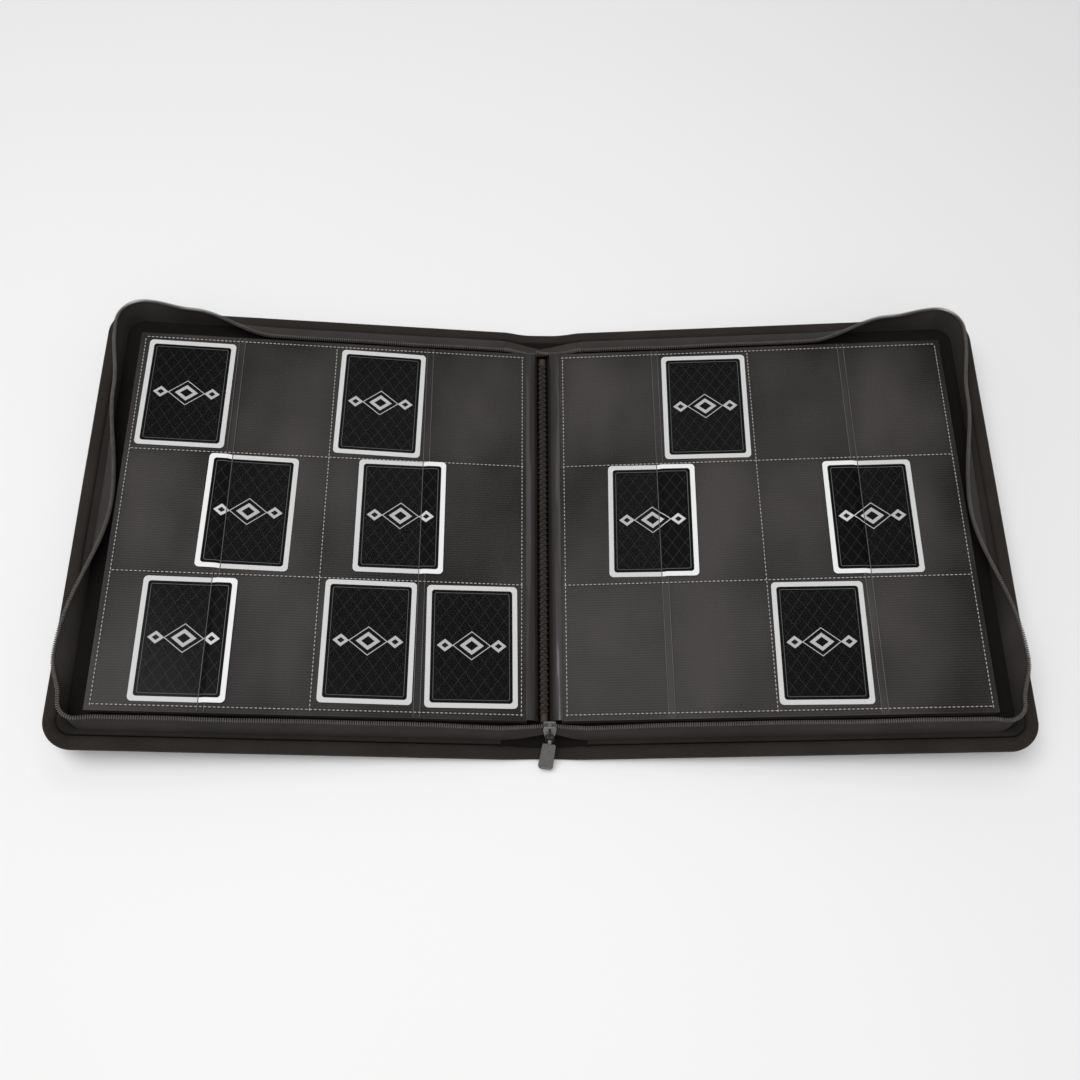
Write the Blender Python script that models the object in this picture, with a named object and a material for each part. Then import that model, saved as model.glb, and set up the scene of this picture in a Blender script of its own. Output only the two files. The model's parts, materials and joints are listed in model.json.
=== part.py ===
"""Zip-round trading card binder, lying open: spine, two padded covers, bound pocket pages and cards.

Metres, +X to the reader's right, +Y to the head of the pages, +Z up. The origin is under the middle of
the spine, on the surface that the binder lies on.
"""

import math

import bmesh
import bpy
from mathutils import Matrix, Vector

MM = 0.001

# Card and pocket grid
CARD_WIDTH = 63.5 * MM
CARD_HEIGHT = 88.9 * MM
CARD_THICKNESS = 0.3 * MM
CARD_CORNER = 3.0 * MM
POCKET_COLUMN = 70.95 * MM
POCKET_ROW = 94.9 * MM
PAGE_BORDER = 4.0 * MM
POCKET_GAP = 4.5 * MM
GUTTER_SEAM = 15.6 * MM
PAGE_INNER_EDGE = 12.0 * MM
PAGE_SHIFT_Y = -2.0 * MM

# Covers and spine
REST_TILT = math.radians(5.0)
SPINE_HALF_WIDTH = 19.5 * MM
COVER_HALF_DEPTH = 171.5 * MM
HINGE_X = 20.0 * MM
HINGE_Z = 0.4 * MM
COVER_START = 11.0 * MM
COVER_REACH = 313.5 * MM
COVER_CORNER = 20.0 * MM
BINDING_WIDTH = 9.0 * MM
GAP = 0.3 * MM
CLOTH = 0.8 * MM
BOARD = 2.0 * MM
FOAM = 3.0 * MM

# Zip
TAPE_HEIGHT = 18.0 * MM
TAPE_THICKNESS = 0.8 * MM
TAPE_REACH = 298.0 * MM
TAPE_TAIL = 158.8 * MM
TAPE_HEAD = 161.6 * MM
TAPE_CORNER = 14.0 * MM
COIL_RADIUS = 1.2 * MM
SLIDER_X = 3.5 * MM
SLIDER_Y = -155.0 * MM
SLIDER_Z = 19.5 * MM
SLIDER_HALF_WIDTH = 4.6 * MM
SLIDER_HALF_LENGTH = 5.2 * MM
SLIDER_TIP_BACK = math.radians(32.0)
PLATE_THICKNESS = 1.2 * MM
PLATE_HALF_GAP = 1.6 * MM
BRIDGE_HALF_LENGTH = 3.4 * MM
BRIDGE_DEPTH = 3.6 * MM
BRIDGE_RADIUS = 0.7 * MM
BRIDGE_OVERLAP = 0.4 * MM

# Ends of the tape on the spine: (x, y, z) of the root and the top, from the slider or the middle
TAIL_ROOT = (6.5 * MM, -155.0 * MM, 15.0 * MM)
TAIL_TOP = (6.5 * MM, -154.0 * MM, 23.5 * MM)
HEAD_ROOT = (0.5 * MM, 155.1 * MM, 5.5 * MM)
HEAD_TOP = (0.5 * MM, 146.1 * MM, 14.0 * MM)

# Pull, along its own length from the bridge
PULL_FORWARD = 4.4 * MM
PULL_DROOP = math.radians(42.0)
PULL_SLANT = math.radians(-8.0)
LINK_REACH = 5.3 * MM
LINK_HALF_WIDTH = 2.6 * MM
LINK_TURN = 1.0 * MM
LINK_RADIUS = 0.55 * MM
TAB_START = 7.1 * MM
TAB_END = 25.2 * MM
TAB_HALF_WIDTH = 4.7 * MM
TAB_HALF_THICKNESS = 0.8 * MM
TAB_CORNER = 2.4 * MM
NECK_HALF_WIDTH = 1.3 * MM
NECK_HALF_THICKNESS = 0.65 * MM
BARREL_RADIUS = 1.55 * MM
BARREL_LENGTH = 3.0 * MM
EYE_RADIUS = 0.95 * MM

# Page block
BLOCK_X = 13.15 * MM
BLOCK_Z = 6.35 * MM
LEAF_COUNT = 4
LEAF_THICKNESS = 1.6 * MM
LEAF_BASE = 9.5 * MM
CORE_BASE = 17.1 * MM
CORE_THICKNESS = 0.5 * MM
CARD_BASE = 17.85 * MM
FILM_BASE = 18.4 * MM
FILM_THICKNESS = 0.25 * MM
CARD_OVER_FILM = 18.9 * MM

# Gutter strip's section, in millimetres, and the binding
GUTTER_LINE = [(11.0, 18.1), (8.5, 17.9), (6.0, 16.8), (4.6, 14.6), (3.9, 11.5), (3.6, 8.0)]
GUTTER_THICKNESS = 0.35
FOLD_HALF_WIDTH = 2.6 * MM
FOLD_SHOULDER = 11.0 * MM
FOLD_CROWN = 1.2 * MM
LACE_PITCH = 8.6 * MM
LACE_HALF_WIDTH = 2.4 * MM
LACE_HEIGHT = 13.4 * MM
LACE_RADIUS = 0.5 * MM
LACE_MARGIN = 6.0 * MM

PAGE_OUTER_EDGE = GUTTER_SEAM + 4 * POCKET_COLUMN + PAGE_BORDER
PAGE_HALF_HEIGHT = 1.5 * POCKET_ROW + PAGE_BORDER
COVER_FACE = CLOTH + FOAM + BOARD + CLOTH + 3 * GAP

LEFT, RIGHT = -1, 1
SIDE_NAME = {LEFT: "left", RIGHT: "right"}

# Each card: how far its middle is from the gutter, its height on the page, and the way it stands out.
# 0 is all the way in its pocket, +1 stands out away from the gutter and -1 towards the gutter.
CARDS = {
    LEFT: [
        (264.9, 95.6, 0.5, 0),
        (122.6, 95.7, 1.1, 0),
        (211.2, 1.2, 0.9, 1),
        (103.6, 2.9, 0.0, -1),
        (244.8, -95.0, 0.1, -1),
        (121.6, -92.8, 0.3, 0),
        (50.3, -93.9, -0.6, 0),
    ],
    RIGHT: [
        (123.1, 95.4, -0.6, 0),
        (79.5, 2.0, -0.8, 1),
        (236.5, 0.0, -0.2, -1),
        (191.5, -94.2, -0.7, 0),
    ],
}


def clear_scene():
    for thing in list(bpy.data.objects):
        bpy.data.objects.remove(thing, do_unlink=True)


def new_collection(name):
    collection = bpy.data.collections.new(name)
    bpy.context.scene.collection.children.link(collection)
    return collection


def material(name, colour, roughness, metallic=0.0):
    made = bpy.data.materials.new(name)
    made.use_nodes = True
    shader = made.node_tree.nodes["Principled BSDF"]
    shader.inputs["Base Color"].default_value = (*colour, 1.0)
    shader.inputs["Roughness"].default_value = roughness
    shader.inputs["Metallic"].default_value = metallic
    return made


def add(name, mesh, finish, parent=None):
    """Put a mesh in the binder's collection, under an empty whose frame the mesh is drawn in."""
    piece = bpy.data.objects.new(name, mesh)
    PARTS.objects.link(piece)
    mesh.materials.clear()
    mesh.materials.append(finish)
    piece.parent = parent
    return piece


def empty(name, location, tilt=0.0):
    """A frame on a joint's axis. A positive tilt lifts its +X end."""
    frame = bpy.data.objects.new(name, None)
    frame.location = location
    frame.rotation_euler.y = -tilt
    PARTS.objects.link(frame)
    return frame


def mesh_from(shape, name):
    bmesh.ops.recalc_face_normals(shape, faces=shape.faces)
    mesh = bpy.data.meshes.new(name)
    shape.to_mesh(mesh)
    shape.free()
    return mesh


def box(name, low, high, corner=0.0, rounded=lambda x, y: True, segments=4):
    """A flat board from corner to corner, its upright edges rounded where `rounded` says so."""
    shape = bmesh.new()
    size = Vector(high) - Vector(low)
    middle = (Vector(high) + Vector(low)) / 2
    bmesh.ops.create_cube(shape, size=1.0, matrix=Matrix.Translation(middle) @ Matrix.Diagonal((*size, 1.0)))
    if corner:
        upright = []
        for edge in shape.edges:
            start, end = edge.verts
            if abs(start.co.z - end.co.z) > 0.9 * size.z and rounded(start.co.x, start.co.y):
                upright.append(edge)
        bmesh.ops.bevel(shape, geom=upright, offset=corner, segments=segments, profile=0.5, affect="EDGES")
    return mesh_from(shape, name)


def loft(name, rings):
    """A solid skinned over equal rings of points, closed with a face at each end.

    Both walls of a thin strip are split along matching diagonals, so that a twist can't cross them.
    """
    shape = bmesh.new()
    rows = [[shape.verts.new(point) for point in ring] for ring in rings]
    count = len(rows[0])
    for row, following in zip(rows, rows[1:]):
        for i in range(count):
            j = (i + 1) % count
            if i < count / 2:
                shape.faces.new((row[i], row[j], following[j]))
                shape.faces.new((row[i], following[j], following[i]))
            else:
                shape.faces.new((row[i], row[j], following[i]))
                shape.faces.new((row[j], following[j], following[i]))
    shape.faces.new(rows[0])
    shape.faces.new(rows[-1])
    return mesh_from(shape, name)


def wire(name, points, radius, finish, parent=None, cyclic=False, resolution=2):
    """A round wire along the points, as a mesh so that it can be joined to others."""
    curve = bpy.data.curves.new(name, "CURVE")
    curve.dimensions = "3D"
    curve.bevel_depth = radius
    curve.bevel_resolution = resolution
    curve.use_fill_caps = not cyclic
    spline = curve.splines.new("POLY")
    spline.points.add(len(points) - 1)
    for point, place in zip(spline.points, points):
        point.co = (*place, 1.0)
    spline.use_cyclic_u = cyclic
    guide = bpy.data.objects.new(name + "_guide", curve)
    PARTS.objects.link(guide)
    graph = bpy.context.evaluated_depsgraph_get()
    mesh = bpy.data.meshes.new_from_object(guide.evaluated_get(graph))
    shape = bmesh.new()
    shape.from_mesh(mesh)
    bmesh.ops.remove_doubles(shape, verts=shape.verts, dist=0.01 * MM)
    mesh = mesh_from(shape, name)
    bpy.data.objects.remove(guide)
    bpy.data.curves.remove(curve)
    return add(name, mesh, finish, parent)


def boolean(piece, other, operation):
    change = piece.modifiers.new(operation.lower() + "_" + other.name, "BOOLEAN")
    change.operation = operation
    change.object = other
    change.solver = "EXACT"


def tool(piece):
    """Make a piece a cutter or a filler, which isn't part of the binder."""
    for collection in list(piece.users_collection):
        collection.objects.unlink(piece)
    CUTTERS.objects.link(piece)
    piece.hide_render = True
    piece.display_type = "WIRE"
    return piece


def edge_path(reach, tail, head, corner, start, turn_steps=6, run_steps=10):
    """Points round three sides of a cover from its tail to its head, with the way inwards at each."""
    points = []
    for i in range(run_steps):
        x = start + (reach - corner - start) * i / run_steps
        points.append((x, -tail, 0.0, 1.0))
    for i in range(turn_steps + 1):
        angle = -math.pi / 2 + math.pi / 2 * i / turn_steps
        x = reach - corner + corner * math.cos(angle)
        y = -tail + corner + corner * math.sin(angle)
        points.append((x, y, -math.cos(angle), -math.sin(angle)))
    for i in range(1, run_steps):
        y = -tail + corner + (tail + head - 2 * corner) * i / run_steps
        points.append((reach, y, -1.0, 0.0))
    for i in range(turn_steps + 1):
        angle = math.pi / 2 * i / turn_steps
        x = reach - corner + corner * math.cos(angle)
        y = head - corner + corner * math.sin(angle)
        points.append((x, y, -math.cos(angle), -math.sin(angle)))
    for i in range(1, run_steps + 1):
        x = reach - corner - (reach - corner - start) * i / run_steps
        points.append((x, head, 0.0, -1.0))
    return points


def smooth_between(stations, position):
    """A value that eases from one station (position, value) to the next."""
    for (start, low), (end, high) in zip(stations, stations[1:]):
        if position <= end:
            share = (position - start) / (end - start)
            return low + (high - low) * (1 - math.cos(math.pi * max(share, 0.0))) / 2
    return stations[-1][1]


# The tape's lean towards the pages, in degrees, by its share of the way round the cover
TAPE_LEAN = [
    (0.0, 12),
    (0.3, 12),
    (0.335, -4),
    (0.37, -30),
    (0.5, 37),
    (0.6, 6),
    (0.66, -14),
    (0.69, -18),
    (0.73, 0),
    (0.8, 50),
]


def tape_stations():
    """(root, top, the way inwards) in a right-hand cover's frame, all round its three sides."""
    route = edge_path(TAPE_REACH, TAPE_TAIL, TAPE_HEAD, TAPE_CORNER, COVER_START)
    lengths = [0.0]
    for before, after in zip(route, route[1:]):
        lengths.append(lengths[-1] + math.hypot(after[0] - before[0], after[1] - before[1]))
    stations = []
    for (x, y, inward_x, inward_y), length in zip(route, lengths):
        lean = math.radians(smooth_between(TAPE_LEAN, length / lengths[-1]))
        inward = Vector((inward_x, inward_y, 0.0))
        root = Vector((x, y, COVER_FACE + GAP + TAPE_THICKNESS / 2 - HINGE_Z))
        top = root + (inward * math.sin(lean) + Vector((0, 0, math.cos(lean)))) * TAPE_HEIGHT
        stations.append((root, top, inward))
    return stations


def mirrored(point, side):
    return Vector((side * point[0], point[1], point[2]))


def wall_ring(root, top, inward, thickness):
    """The section of a tape: a thin strip from its root to its top."""
    along = (top - root).normalized()
    across = (inward - along * inward.dot(along)).normalized() * thickness / 2
    return [root - across, root + across, top + across, top - across]


def make_spine():
    depth = COVER_HALF_DEPTH
    for name, half, base, height, inset, finish in (
        ("spine_skin", SPINE_HALF_WIDTH, 0.0, CLOTH, 0.0, WOVEN),
        ("spine_board", SPINE_HALF_WIDTH - 1 * MM, CLOTH + GAP, BOARD, 2 * MM, GREYBOARD),
        ("spine_lining", SPINE_HALF_WIDTH, CLOTH + BOARD + 2 * GAP, CLOTH, 1 * MM, LINING),
    ):
        low = (-half, -depth + inset, base)
        high = (half, depth - inset, base + height)
        add(name, box(name, low, high, 0.4 * MM), finish)


def make_hinge_cloth(side, frame):
    """The cloth that bends between the spine and a cover, in the cover's frame."""
    under, over = -0.3 * MM, 0.4 * MM
    back = GAP * math.cos(REST_TILT), GAP * math.sin(REST_TILT)
    section = []
    for height in (under, over):
        row = [(-back[0], height + back[1]), (0.0, height), (COVER_START - GAP, height)]
        section += row if height == under else row[::-1]
    rings = []
    for y in (-COVER_HALF_DEPTH + 1 * MM, COVER_HALF_DEPTH - 1 * MM):
        rings.append([mirrored((x, y, z), side) for x, z in section])
    add(SIDE_NAME[side] + "_hinge_cloth", loft("hinge_cloth", rings), WOVEN, frame)


def make_cover(side, frame):
    """The layers of a cover in its own frame, whose X axis starts on the hinge."""
    name = SIDE_NAME[side]

    def layer(label, base, height, edge, corner, finish):
        low_x, high_x = sorted((side * COVER_START, side * (COVER_REACH - edge)))
        half = COVER_HALF_DEPTH - edge
        low = (low_x, -half, base - HINGE_Z)
        high = (high_x, half, base + height - HINGE_Z)
        outer = box(label, low, high, corner, lambda x, y: abs(x) > COVER_REACH / 2)
        add(f"{name}_cover_{label}", outer, finish, frame)

    inside = BINDING_WIDTH + GAP
    layer("skin", 0.0, CLOTH, inside, COVER_CORNER - inside, WOVEN)
    layer("foam", CLOTH + GAP, FOAM, inside + 2 * MM, COVER_CORNER - inside - 2 * MM, FOAM_SHEET)
    layer("board", CLOTH + FOAM + 2 * GAP, BOARD, inside + 1 * MM, COVER_CORNER - inside - 1 * MM, GREYBOARD)
    layer("lining", CLOTH + FOAM + BOARD + 3 * GAP, CLOTH, inside, COVER_CORNER - inside, LINING)

    height = COVER_FACE + 0.5 * MM
    rings = []
    half = COVER_HALF_DEPTH
    for x, y, inward_x, inward_y in edge_path(COVER_REACH, half, half, COVER_CORNER, COVER_START):
        inward = Vector((inward_x, inward_y, 0.0))
        outer = Vector((x, y, -HINGE_Z))
        ring = [outer + inward * BINDING_WIDTH, outer + inward * 2 * MM]
        for share in (0.2, 0.5, 0.8):
            bulge = 1 - (2 * share - 1) ** 2
            ring.append(outer + inward * (1.2 * MM * (1 - bulge)) + Vector((0, 0, height * share)))
        ring.append(outer + inward * 2 * MM + Vector((0, 0, height)))
        ring.append(outer + inward * BINDING_WIDTH + Vector((0, 0, height)))
        rings.append([mirrored(point, side) for point in ring])
    add(f"{name}_edge_binding", loft("edge_binding", rings), BINDING, frame)


def make_zip(side, frame):
    name = SIDE_NAME[side]
    stations = tape_stations()
    rings = []
    for root, top, inward in stations:
        rings.append([mirrored(p, side) for p in wall_ring(root, top, inward, TAPE_THICKNESS)])
    add(f"{name}_zipper_tape", loft("zipper_tape", rings), TAPE, frame)

    clear = COIL_RADIUS + 0.2 * MM
    line = [mirrored(top + (top - root).normalized() * clear, side) for root, top, inward in stations]
    wire(f"{name}_zipper_coil", line, COIL_RADIUS, COIL, frame, resolution=1)


def cover_to_world(point):
    """A point of a right-hand cover's frame, at rest."""
    turned = Matrix.Rotation(-REST_TILT, 3, "Y") @ point
    return turned + Vector((HINGE_X, 0.0, HINGE_Z))


def make_tape_ends(side):
    """The tape across the spine: to the slider at the tail, and to its fellow at the head."""
    name = SIDE_NAME[side]
    stations = tape_stations()
    step = Vector((GAP, 0.0, 0.0))
    off_middle = Vector((side * SLIDER_X, 0.0, 0.0))
    tail_end = (Vector(TAIL_ROOT) + off_middle, Vector(TAIL_TOP) + off_middle)
    head_end = (Vector(HEAD_ROOT), Vector(HEAD_TOP))
    for label, (root, top, inward), (end_root, end_top) in (
        ("tail", stations[0], tail_end),
        ("head", stations[-1], head_end),
    ):
        start_root, start_top = cover_to_world(root) - step, cover_to_world(top) - step
        rings = []
        for i in range(7):
            share = i / 6
            eased = share * share * (3 - 2 * share)
            low = start_root.lerp(end_root, share)
            high = start_top.lerp(end_top, share)
            low.z = start_root.z + (end_root.z - start_root.z) * eased
            high.z = start_top.z + (end_top.z - start_top.z) * eased
            rings.append([mirrored(p, side) for p in wall_ring(low, high, inward, TAPE_THICKNESS)])
        add(f"{name}_tape_{label}", loft("tape_" + label, rings), TAPE)


def make_slider():
    """The slider, drawn upright about its own middle and tipped back, so its front plate looks up."""
    frame = bpy.data.objects.new("slider_axis", None)
    frame.location = (SLIDER_X, SLIDER_Y, SLIDER_Z)
    frame.rotation_euler.x = -SLIDER_TIP_BACK
    PARTS.objects.link(frame)
    outside = PLATE_HALF_GAP + PLATE_THICKNESS

    def plate(label, near, far):
        low = (-SLIDER_HALF_WIDTH, near, -SLIDER_HALF_LENGTH)
        high = (SLIDER_HALF_WIDTH, far, SLIDER_HALF_LENGTH)
        return box(label, low, high)

    slider = add("slider_body", plate("front_plate", -outside, -PLATE_HALF_GAP), METAL, frame)
    back = tool(add("back_plate", plate("back_plate", PLATE_HALF_GAP, outside), METAL, frame))
    post_y = PLATE_HALF_GAP + PLATE_THICKNESS / 2
    post_low = (-1.3 * MM, -post_y, 0.2 * MM)
    post_high = (1.3 * MM, post_y, SLIDER_HALF_LENGTH - 0.5 * MM)
    post = tool(add("post", box("post", post_low, post_high), METAL, frame))
    arch = []
    for i in range(9):
        angle = math.pi * i / 8
        y = -outside + BRIDGE_OVERLAP - BRIDGE_DEPTH * math.sin(angle) ** 0.6
        arch.append(Vector((0.0, y, BRIDGE_HALF_LENGTH * math.cos(angle))))
    bridge = tool(wire("bridge", arch, BRIDGE_RADIUS, METAL, frame))
    for filler in (back, post, bridge):
        boolean(slider, filler, "UNION")


def make_pull():
    """The link and the tab below it, drawn towards -Y from the bridge and then hung forwards."""
    out = Matrix.Rotation(-SLIDER_TIP_BACK, 3, "X") @ Vector((0.0, -PULL_FORWARD, 0.0))
    frame = bpy.data.objects.new("pull_axis", None)
    frame.location = Vector((SLIDER_X, SLIDER_Y, SLIDER_Z)) + out
    frame.rotation_euler.x = PULL_DROOP
    PARTS.objects.link(frame)

    far = LINK_REACH - LINK_TURN
    line = []
    for centre_x, centre_y, start in (
        (LINK_HALF_WIDTH - LINK_TURN, -LINK_TURN, 0),
        (-LINK_HALF_WIDTH + LINK_TURN, -LINK_TURN, 90),
        (-LINK_HALF_WIDTH + LINK_TURN, -far, 180),
        (LINK_HALF_WIDTH - LINK_TURN, -far, 270),
    ):
        for i in range(4):
            angle = math.radians(start + 30 * i)
            corner_x, corner_y = LINK_TURN * math.cos(angle), LINK_TURN * math.sin(angle)
            line.append((centre_x + corner_x, centre_y + corner_y, 0.0))
    wire("pull_link", line, LINK_RADIUS, METAL, frame, cyclic=True)

    hang = bpy.data.objects.new("tab_axis", None)
    hang.parent = frame
    hang.location = (0.0, -LINK_REACH, 0.0)
    hang.rotation_euler.z = PULL_SLANT
    PARTS.objects.link(hang)
    tab_low = (-TAB_HALF_WIDTH, LINK_REACH - TAB_END, -TAB_HALF_THICKNESS)
    tab_high = (TAB_HALF_WIDTH, LINK_REACH - TAB_START, TAB_HALF_THICKNESS)
    tab = add("pull_tab", box("tab", tab_low, tab_high, TAB_CORNER), PULL_METAL, hang)
    neck_low = (-NECK_HALF_WIDTH, tab_high[1] - 1.0 * MM, -NECK_HALF_THICKNESS)
    neck_high = (NECK_HALF_WIDTH, -1.2 * MM, NECK_HALF_THICKNESS)
    neck = tool(add("neck", box("neck", neck_low, neck_high), METAL, hang))
    across = Matrix.Rotation(math.pi / 2, 4, "Y")
    tubes = {}
    for label, radius, length in (
        ("barrel", BARREL_RADIUS, BARREL_LENGTH),
        ("eye", EYE_RADIUS, 2 * BARREL_LENGTH),
    ):
        shape = bmesh.new()
        bmesh.ops.create_cone(
            shape, cap_ends=True, segments=16, radius1=radius, radius2=radius, depth=length, matrix=across
        )
        tubes[label] = tool(add(label, mesh_from(shape, label), METAL, hang))
    boolean(tab, neck, "UNION")
    boolean(tab, tubes["barrel"], "UNION")
    boolean(tab, tubes["eye"], "DIFFERENCE")


def make_leaves(side, frame):
    """The pages below the top one. Each solid stands for two thin pages."""
    for i in range(LEAF_COUNT):
        base = LEAF_BASE + i * (LEAF_THICKNESS + GAP) - BLOCK_Z
        sheet("leaf_%d" % (i + 1), side, frame, PAGE_INNER_EDGE, PAGE_OUTER_EDGE, base, LEAF_THICKNESS, LEAF)


def sheet(label, side, frame, inner, outer, base, thickness, finish):
    """A flat piece of a page between two distances from the gutter, in the page block's frame."""
    name = SIDE_NAME[side]
    shift = block_shift(base + BLOCK_Z)
    low_x, high_x = sorted((side * (inner - shift), side * (outer - shift)))
    low = (low_x, PAGE_SHIFT_Y - PAGE_HALF_HEIGHT, base)
    high = (high_x, PAGE_SHIFT_Y + PAGE_HALF_HEIGHT, base + thickness)
    corner = 2.0 * MM if thickness > FILM_THICKNESS else 0.0
    mesh = box(label, low, high, corner, lambda x, y: abs(x) > 0.2, segments=3)
    add(f"{name}_{label}", mesh, finish, frame)


def block_shift(height):
    """How far the block's frame starts from the middle of the gutter, along a page at this height."""
    return (BLOCK_X - (height - BLOCK_Z) * math.sin(REST_TILT)) / math.cos(REST_TILT)


def pocket_columns():
    """(inner edge, outer edge) of the film over each column of pockets, from the gutter outwards."""
    half_gap = POCKET_GAP / 2
    seam = GUTTER_SEAM + 2 * POCKET_COLUMN
    first = GUTTER_SEAM + POCKET_COLUMN
    last = GUTTER_SEAM + 3 * POCKET_COLUMN
    inner, outer = PAGE_INNER_EDGE + 0.5 * MM, PAGE_OUTER_EDGE - 0.5 * MM
    return [
        (inner, first - half_gap),
        (first + half_gap, seam - GAP / 2),
        (seam + GAP / 2, last - half_gap),
        (last + half_gap, outer),
    ]


def make_card(name, side, frame, distance, height, turn, out):
    """A card in its pocket, or half out of it and resting on the film of the next column."""
    columns = pocket_columns()
    half = CARD_WIDTH / 2
    shift = block_shift(CARD_BASE)
    start, end = distance - half, distance + half
    low, high = CARD_BASE - BLOCK_Z, CARD_OVER_FILM - BLOCK_Z
    if out == 0:
        profile = [(start, low), (end, low)]
    else:
        edges = [(columns[0][1], columns[1][0]), (columns[2][1], columns[3][0])]
        near, far = next(pair for pair in edges if start < pair[0] and end > pair[1])
        margin = 0.2 * MM
        steps = 6
        profile = [(start, low if out > 0 else high)]
        for i in range(steps + 1):
            share = i / steps
            eased = (1 - math.cos(math.pi * share)) / 2
            rise = eased if out > 0 else 1 - eased
            profile.append((near + margin + (far - near - 2 * margin) * share, low + (high - low) * rise))
        profile.append((end, high if out > 0 else low))
    rings = []
    for along, base in corner_stations(profile, start, end):
        inset = corner_inset(min(along - start, end - along))
        rings.append(
            [
                Vector((along - shift, -CARD_HEIGHT / 2 + inset, base)),
                Vector((along - shift, CARD_HEIGHT / 2 - inset, base)),
                Vector((along - shift, CARD_HEIGHT / 2 - inset, base + CARD_THICKNESS)),
                Vector((along - shift, -CARD_HEIGHT / 2 + inset, base + CARD_THICKNESS)),
            ]
        )
    middle = Vector((distance - shift, 0.0, 0.0))
    turned = Matrix.Rotation(side * math.radians(turn), 3, "Z")
    up_page = Vector((0.0, height + PAGE_SHIFT_Y, 0.0))
    rings = [[mirrored(turned @ (p - middle) + middle + up_page, side) for p in ring] for ring in rings]
    add(name, loft("card", rings), CARD, frame)


def corner_inset(distance):
    """How much shorter a card is near its rounded end."""
    if distance >= CARD_CORNER:
        return 0.0
    return CARD_CORNER - math.sqrt(max(CARD_CORNER**2 - (CARD_CORNER - distance) ** 2, 0.0))


def corner_stations(profile, start, end):
    """The profile with a few more points where the card's corners are round."""
    steps = [0.0, 0.2, 0.5, 1.0]
    first, last = profile[0], profile[-1]
    stations = [(start + CARD_CORNER * step, first[1]) for step in steps]
    stations += profile[1:-1]
    stations += [(end - CARD_CORNER * step, last[1]) for step in reversed(steps)]
    return stations


def make_page(side, frame):
    name = SIDE_NAME[side]
    base = CORE_BASE - BLOCK_Z
    sheet("page_core", side, frame, PAGE_INNER_EDGE, PAGE_OUTER_EDGE, base, CORE_THICKNESS, LEAF)
    for i, (inner, outer) in enumerate(pocket_columns()):
        sheet("film_%d" % (i + 1), side, frame, inner, outer, FILM_BASE - BLOCK_Z, FILM_THICKNESS, FILM)
    for i, (distance, height, turn, out) in enumerate(CARDS[side]):
        make_card(f"{name}_card_{i + 1}", side, frame, distance * MM, height * MM, turn, out)


def make_gutter(side):
    """The smooth strip that drops from the top page into the binding."""
    section = GUTTER_LINE + [(x + GUTTER_THICKNESS, z - GUTTER_THICKNESS) for x, z in reversed(GUTTER_LINE)]
    rings = []
    for y in (PAGE_SHIFT_Y - PAGE_HALF_HEIGHT + 1 * MM, PAGE_SHIFT_Y + PAGE_HALF_HEIGHT - 1 * MM):
        rings.append([Vector((side * x * MM, y, z * MM)) for x, z in section])
    add(SIDE_NAME[side] + "_gutter_strip", loft("gutter_strip", rings), LEAF)


def make_binding():
    """The folded inner edges of all the pages, and the lacing that holds them to the spine."""
    base = CLOTH * 2 + BOARD + 3 * GAP
    section = [(-FOLD_HALF_WIDTH, base), (FOLD_HALF_WIDTH, base)]
    for i in range(7):
        angle = math.pi * i / 6
        section.append((FOLD_HALF_WIDTH * math.cos(angle), FOLD_SHOULDER + FOLD_CROWN * math.sin(angle)))
    length = PAGE_HALF_HEIGHT - 1 * MM
    rings = []
    for y in (PAGE_SHIFT_Y - length, PAGE_SHIFT_Y + length):
        rings.append([Vector((x, y, z)) for x, z in section])
    add("page_fold_bundle", loft("page_fold_bundle", rings), LEAF)

    count = int(2 * (length - LACE_MARGIN) / LACE_PITCH)
    lacing = []
    for i in range(2 * count + 1):
        x = LACE_HALF_WIDTH * (1 if i % 2 else -1)
        lacing.append(Vector((x, PAGE_SHIFT_Y + LACE_PITCH / 2 * (i - count), LACE_HEIGHT)))
    wire("binding_stitch", lacing, LACE_RADIUS, THREAD, resolution=1)


def make_binder():
    make_spine()
    for side in (LEFT, RIGHT):
        name = SIDE_NAME[side]
        cover = empty(name + "_cover_axis", (side * HINGE_X, 0.0, HINGE_Z), side * REST_TILT)
        block = empty(name + "_block_axis", (side * BLOCK_X, 0.0, BLOCK_Z), side * REST_TILT)
        make_hinge_cloth(side, cover)
        make_cover(side, cover)
        make_zip(side, cover)
        make_tape_ends(side)
        make_leaves(side, block)
        make_page(side, block)
        make_gutter(side)
    make_binding()
    make_slider()
    make_pull()


clear_scene()
PARTS = new_collection("trading_card_binder")
CUTTERS = new_collection("cutters")
WOVEN = material("woven_cover", (0.042, 0.036, 0.034), 0.85)
BINDING = material("edge_binding", (0.036, 0.031, 0.029), 0.8)
LINING = material("dark_lining", (0.012, 0.010, 0.010), 0.9)
GREYBOARD = material("greyboard", (0.28, 0.25, 0.21), 0.9)
FOAM_SHEET = material("foam_sheet", (0.08, 0.08, 0.08), 0.95)
TAPE = material("zip_tape", (0.068, 0.060, 0.056), 0.85)
COIL = material("zip_coil", (0.03, 0.027, 0.026), 0.4)
METAL = material("slider_metal", (0.16, 0.155, 0.15), 0.35, 0.9)
PULL_METAL = material("pull_metal", (0.15, 0.142, 0.137), 0.45, 0.6)
LEAF = material("page_black", (0.02, 0.017, 0.016), 0.6)
FILM = material("pocket_film", (0.035, 0.032, 0.034), 0.3)
CARD = material("card_face", (0.6, 0.6, 0.6), 0.4)
THREAD = material("binding_thread", (0.02, 0.018, 0.017), 0.7)
make_binder()
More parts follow.
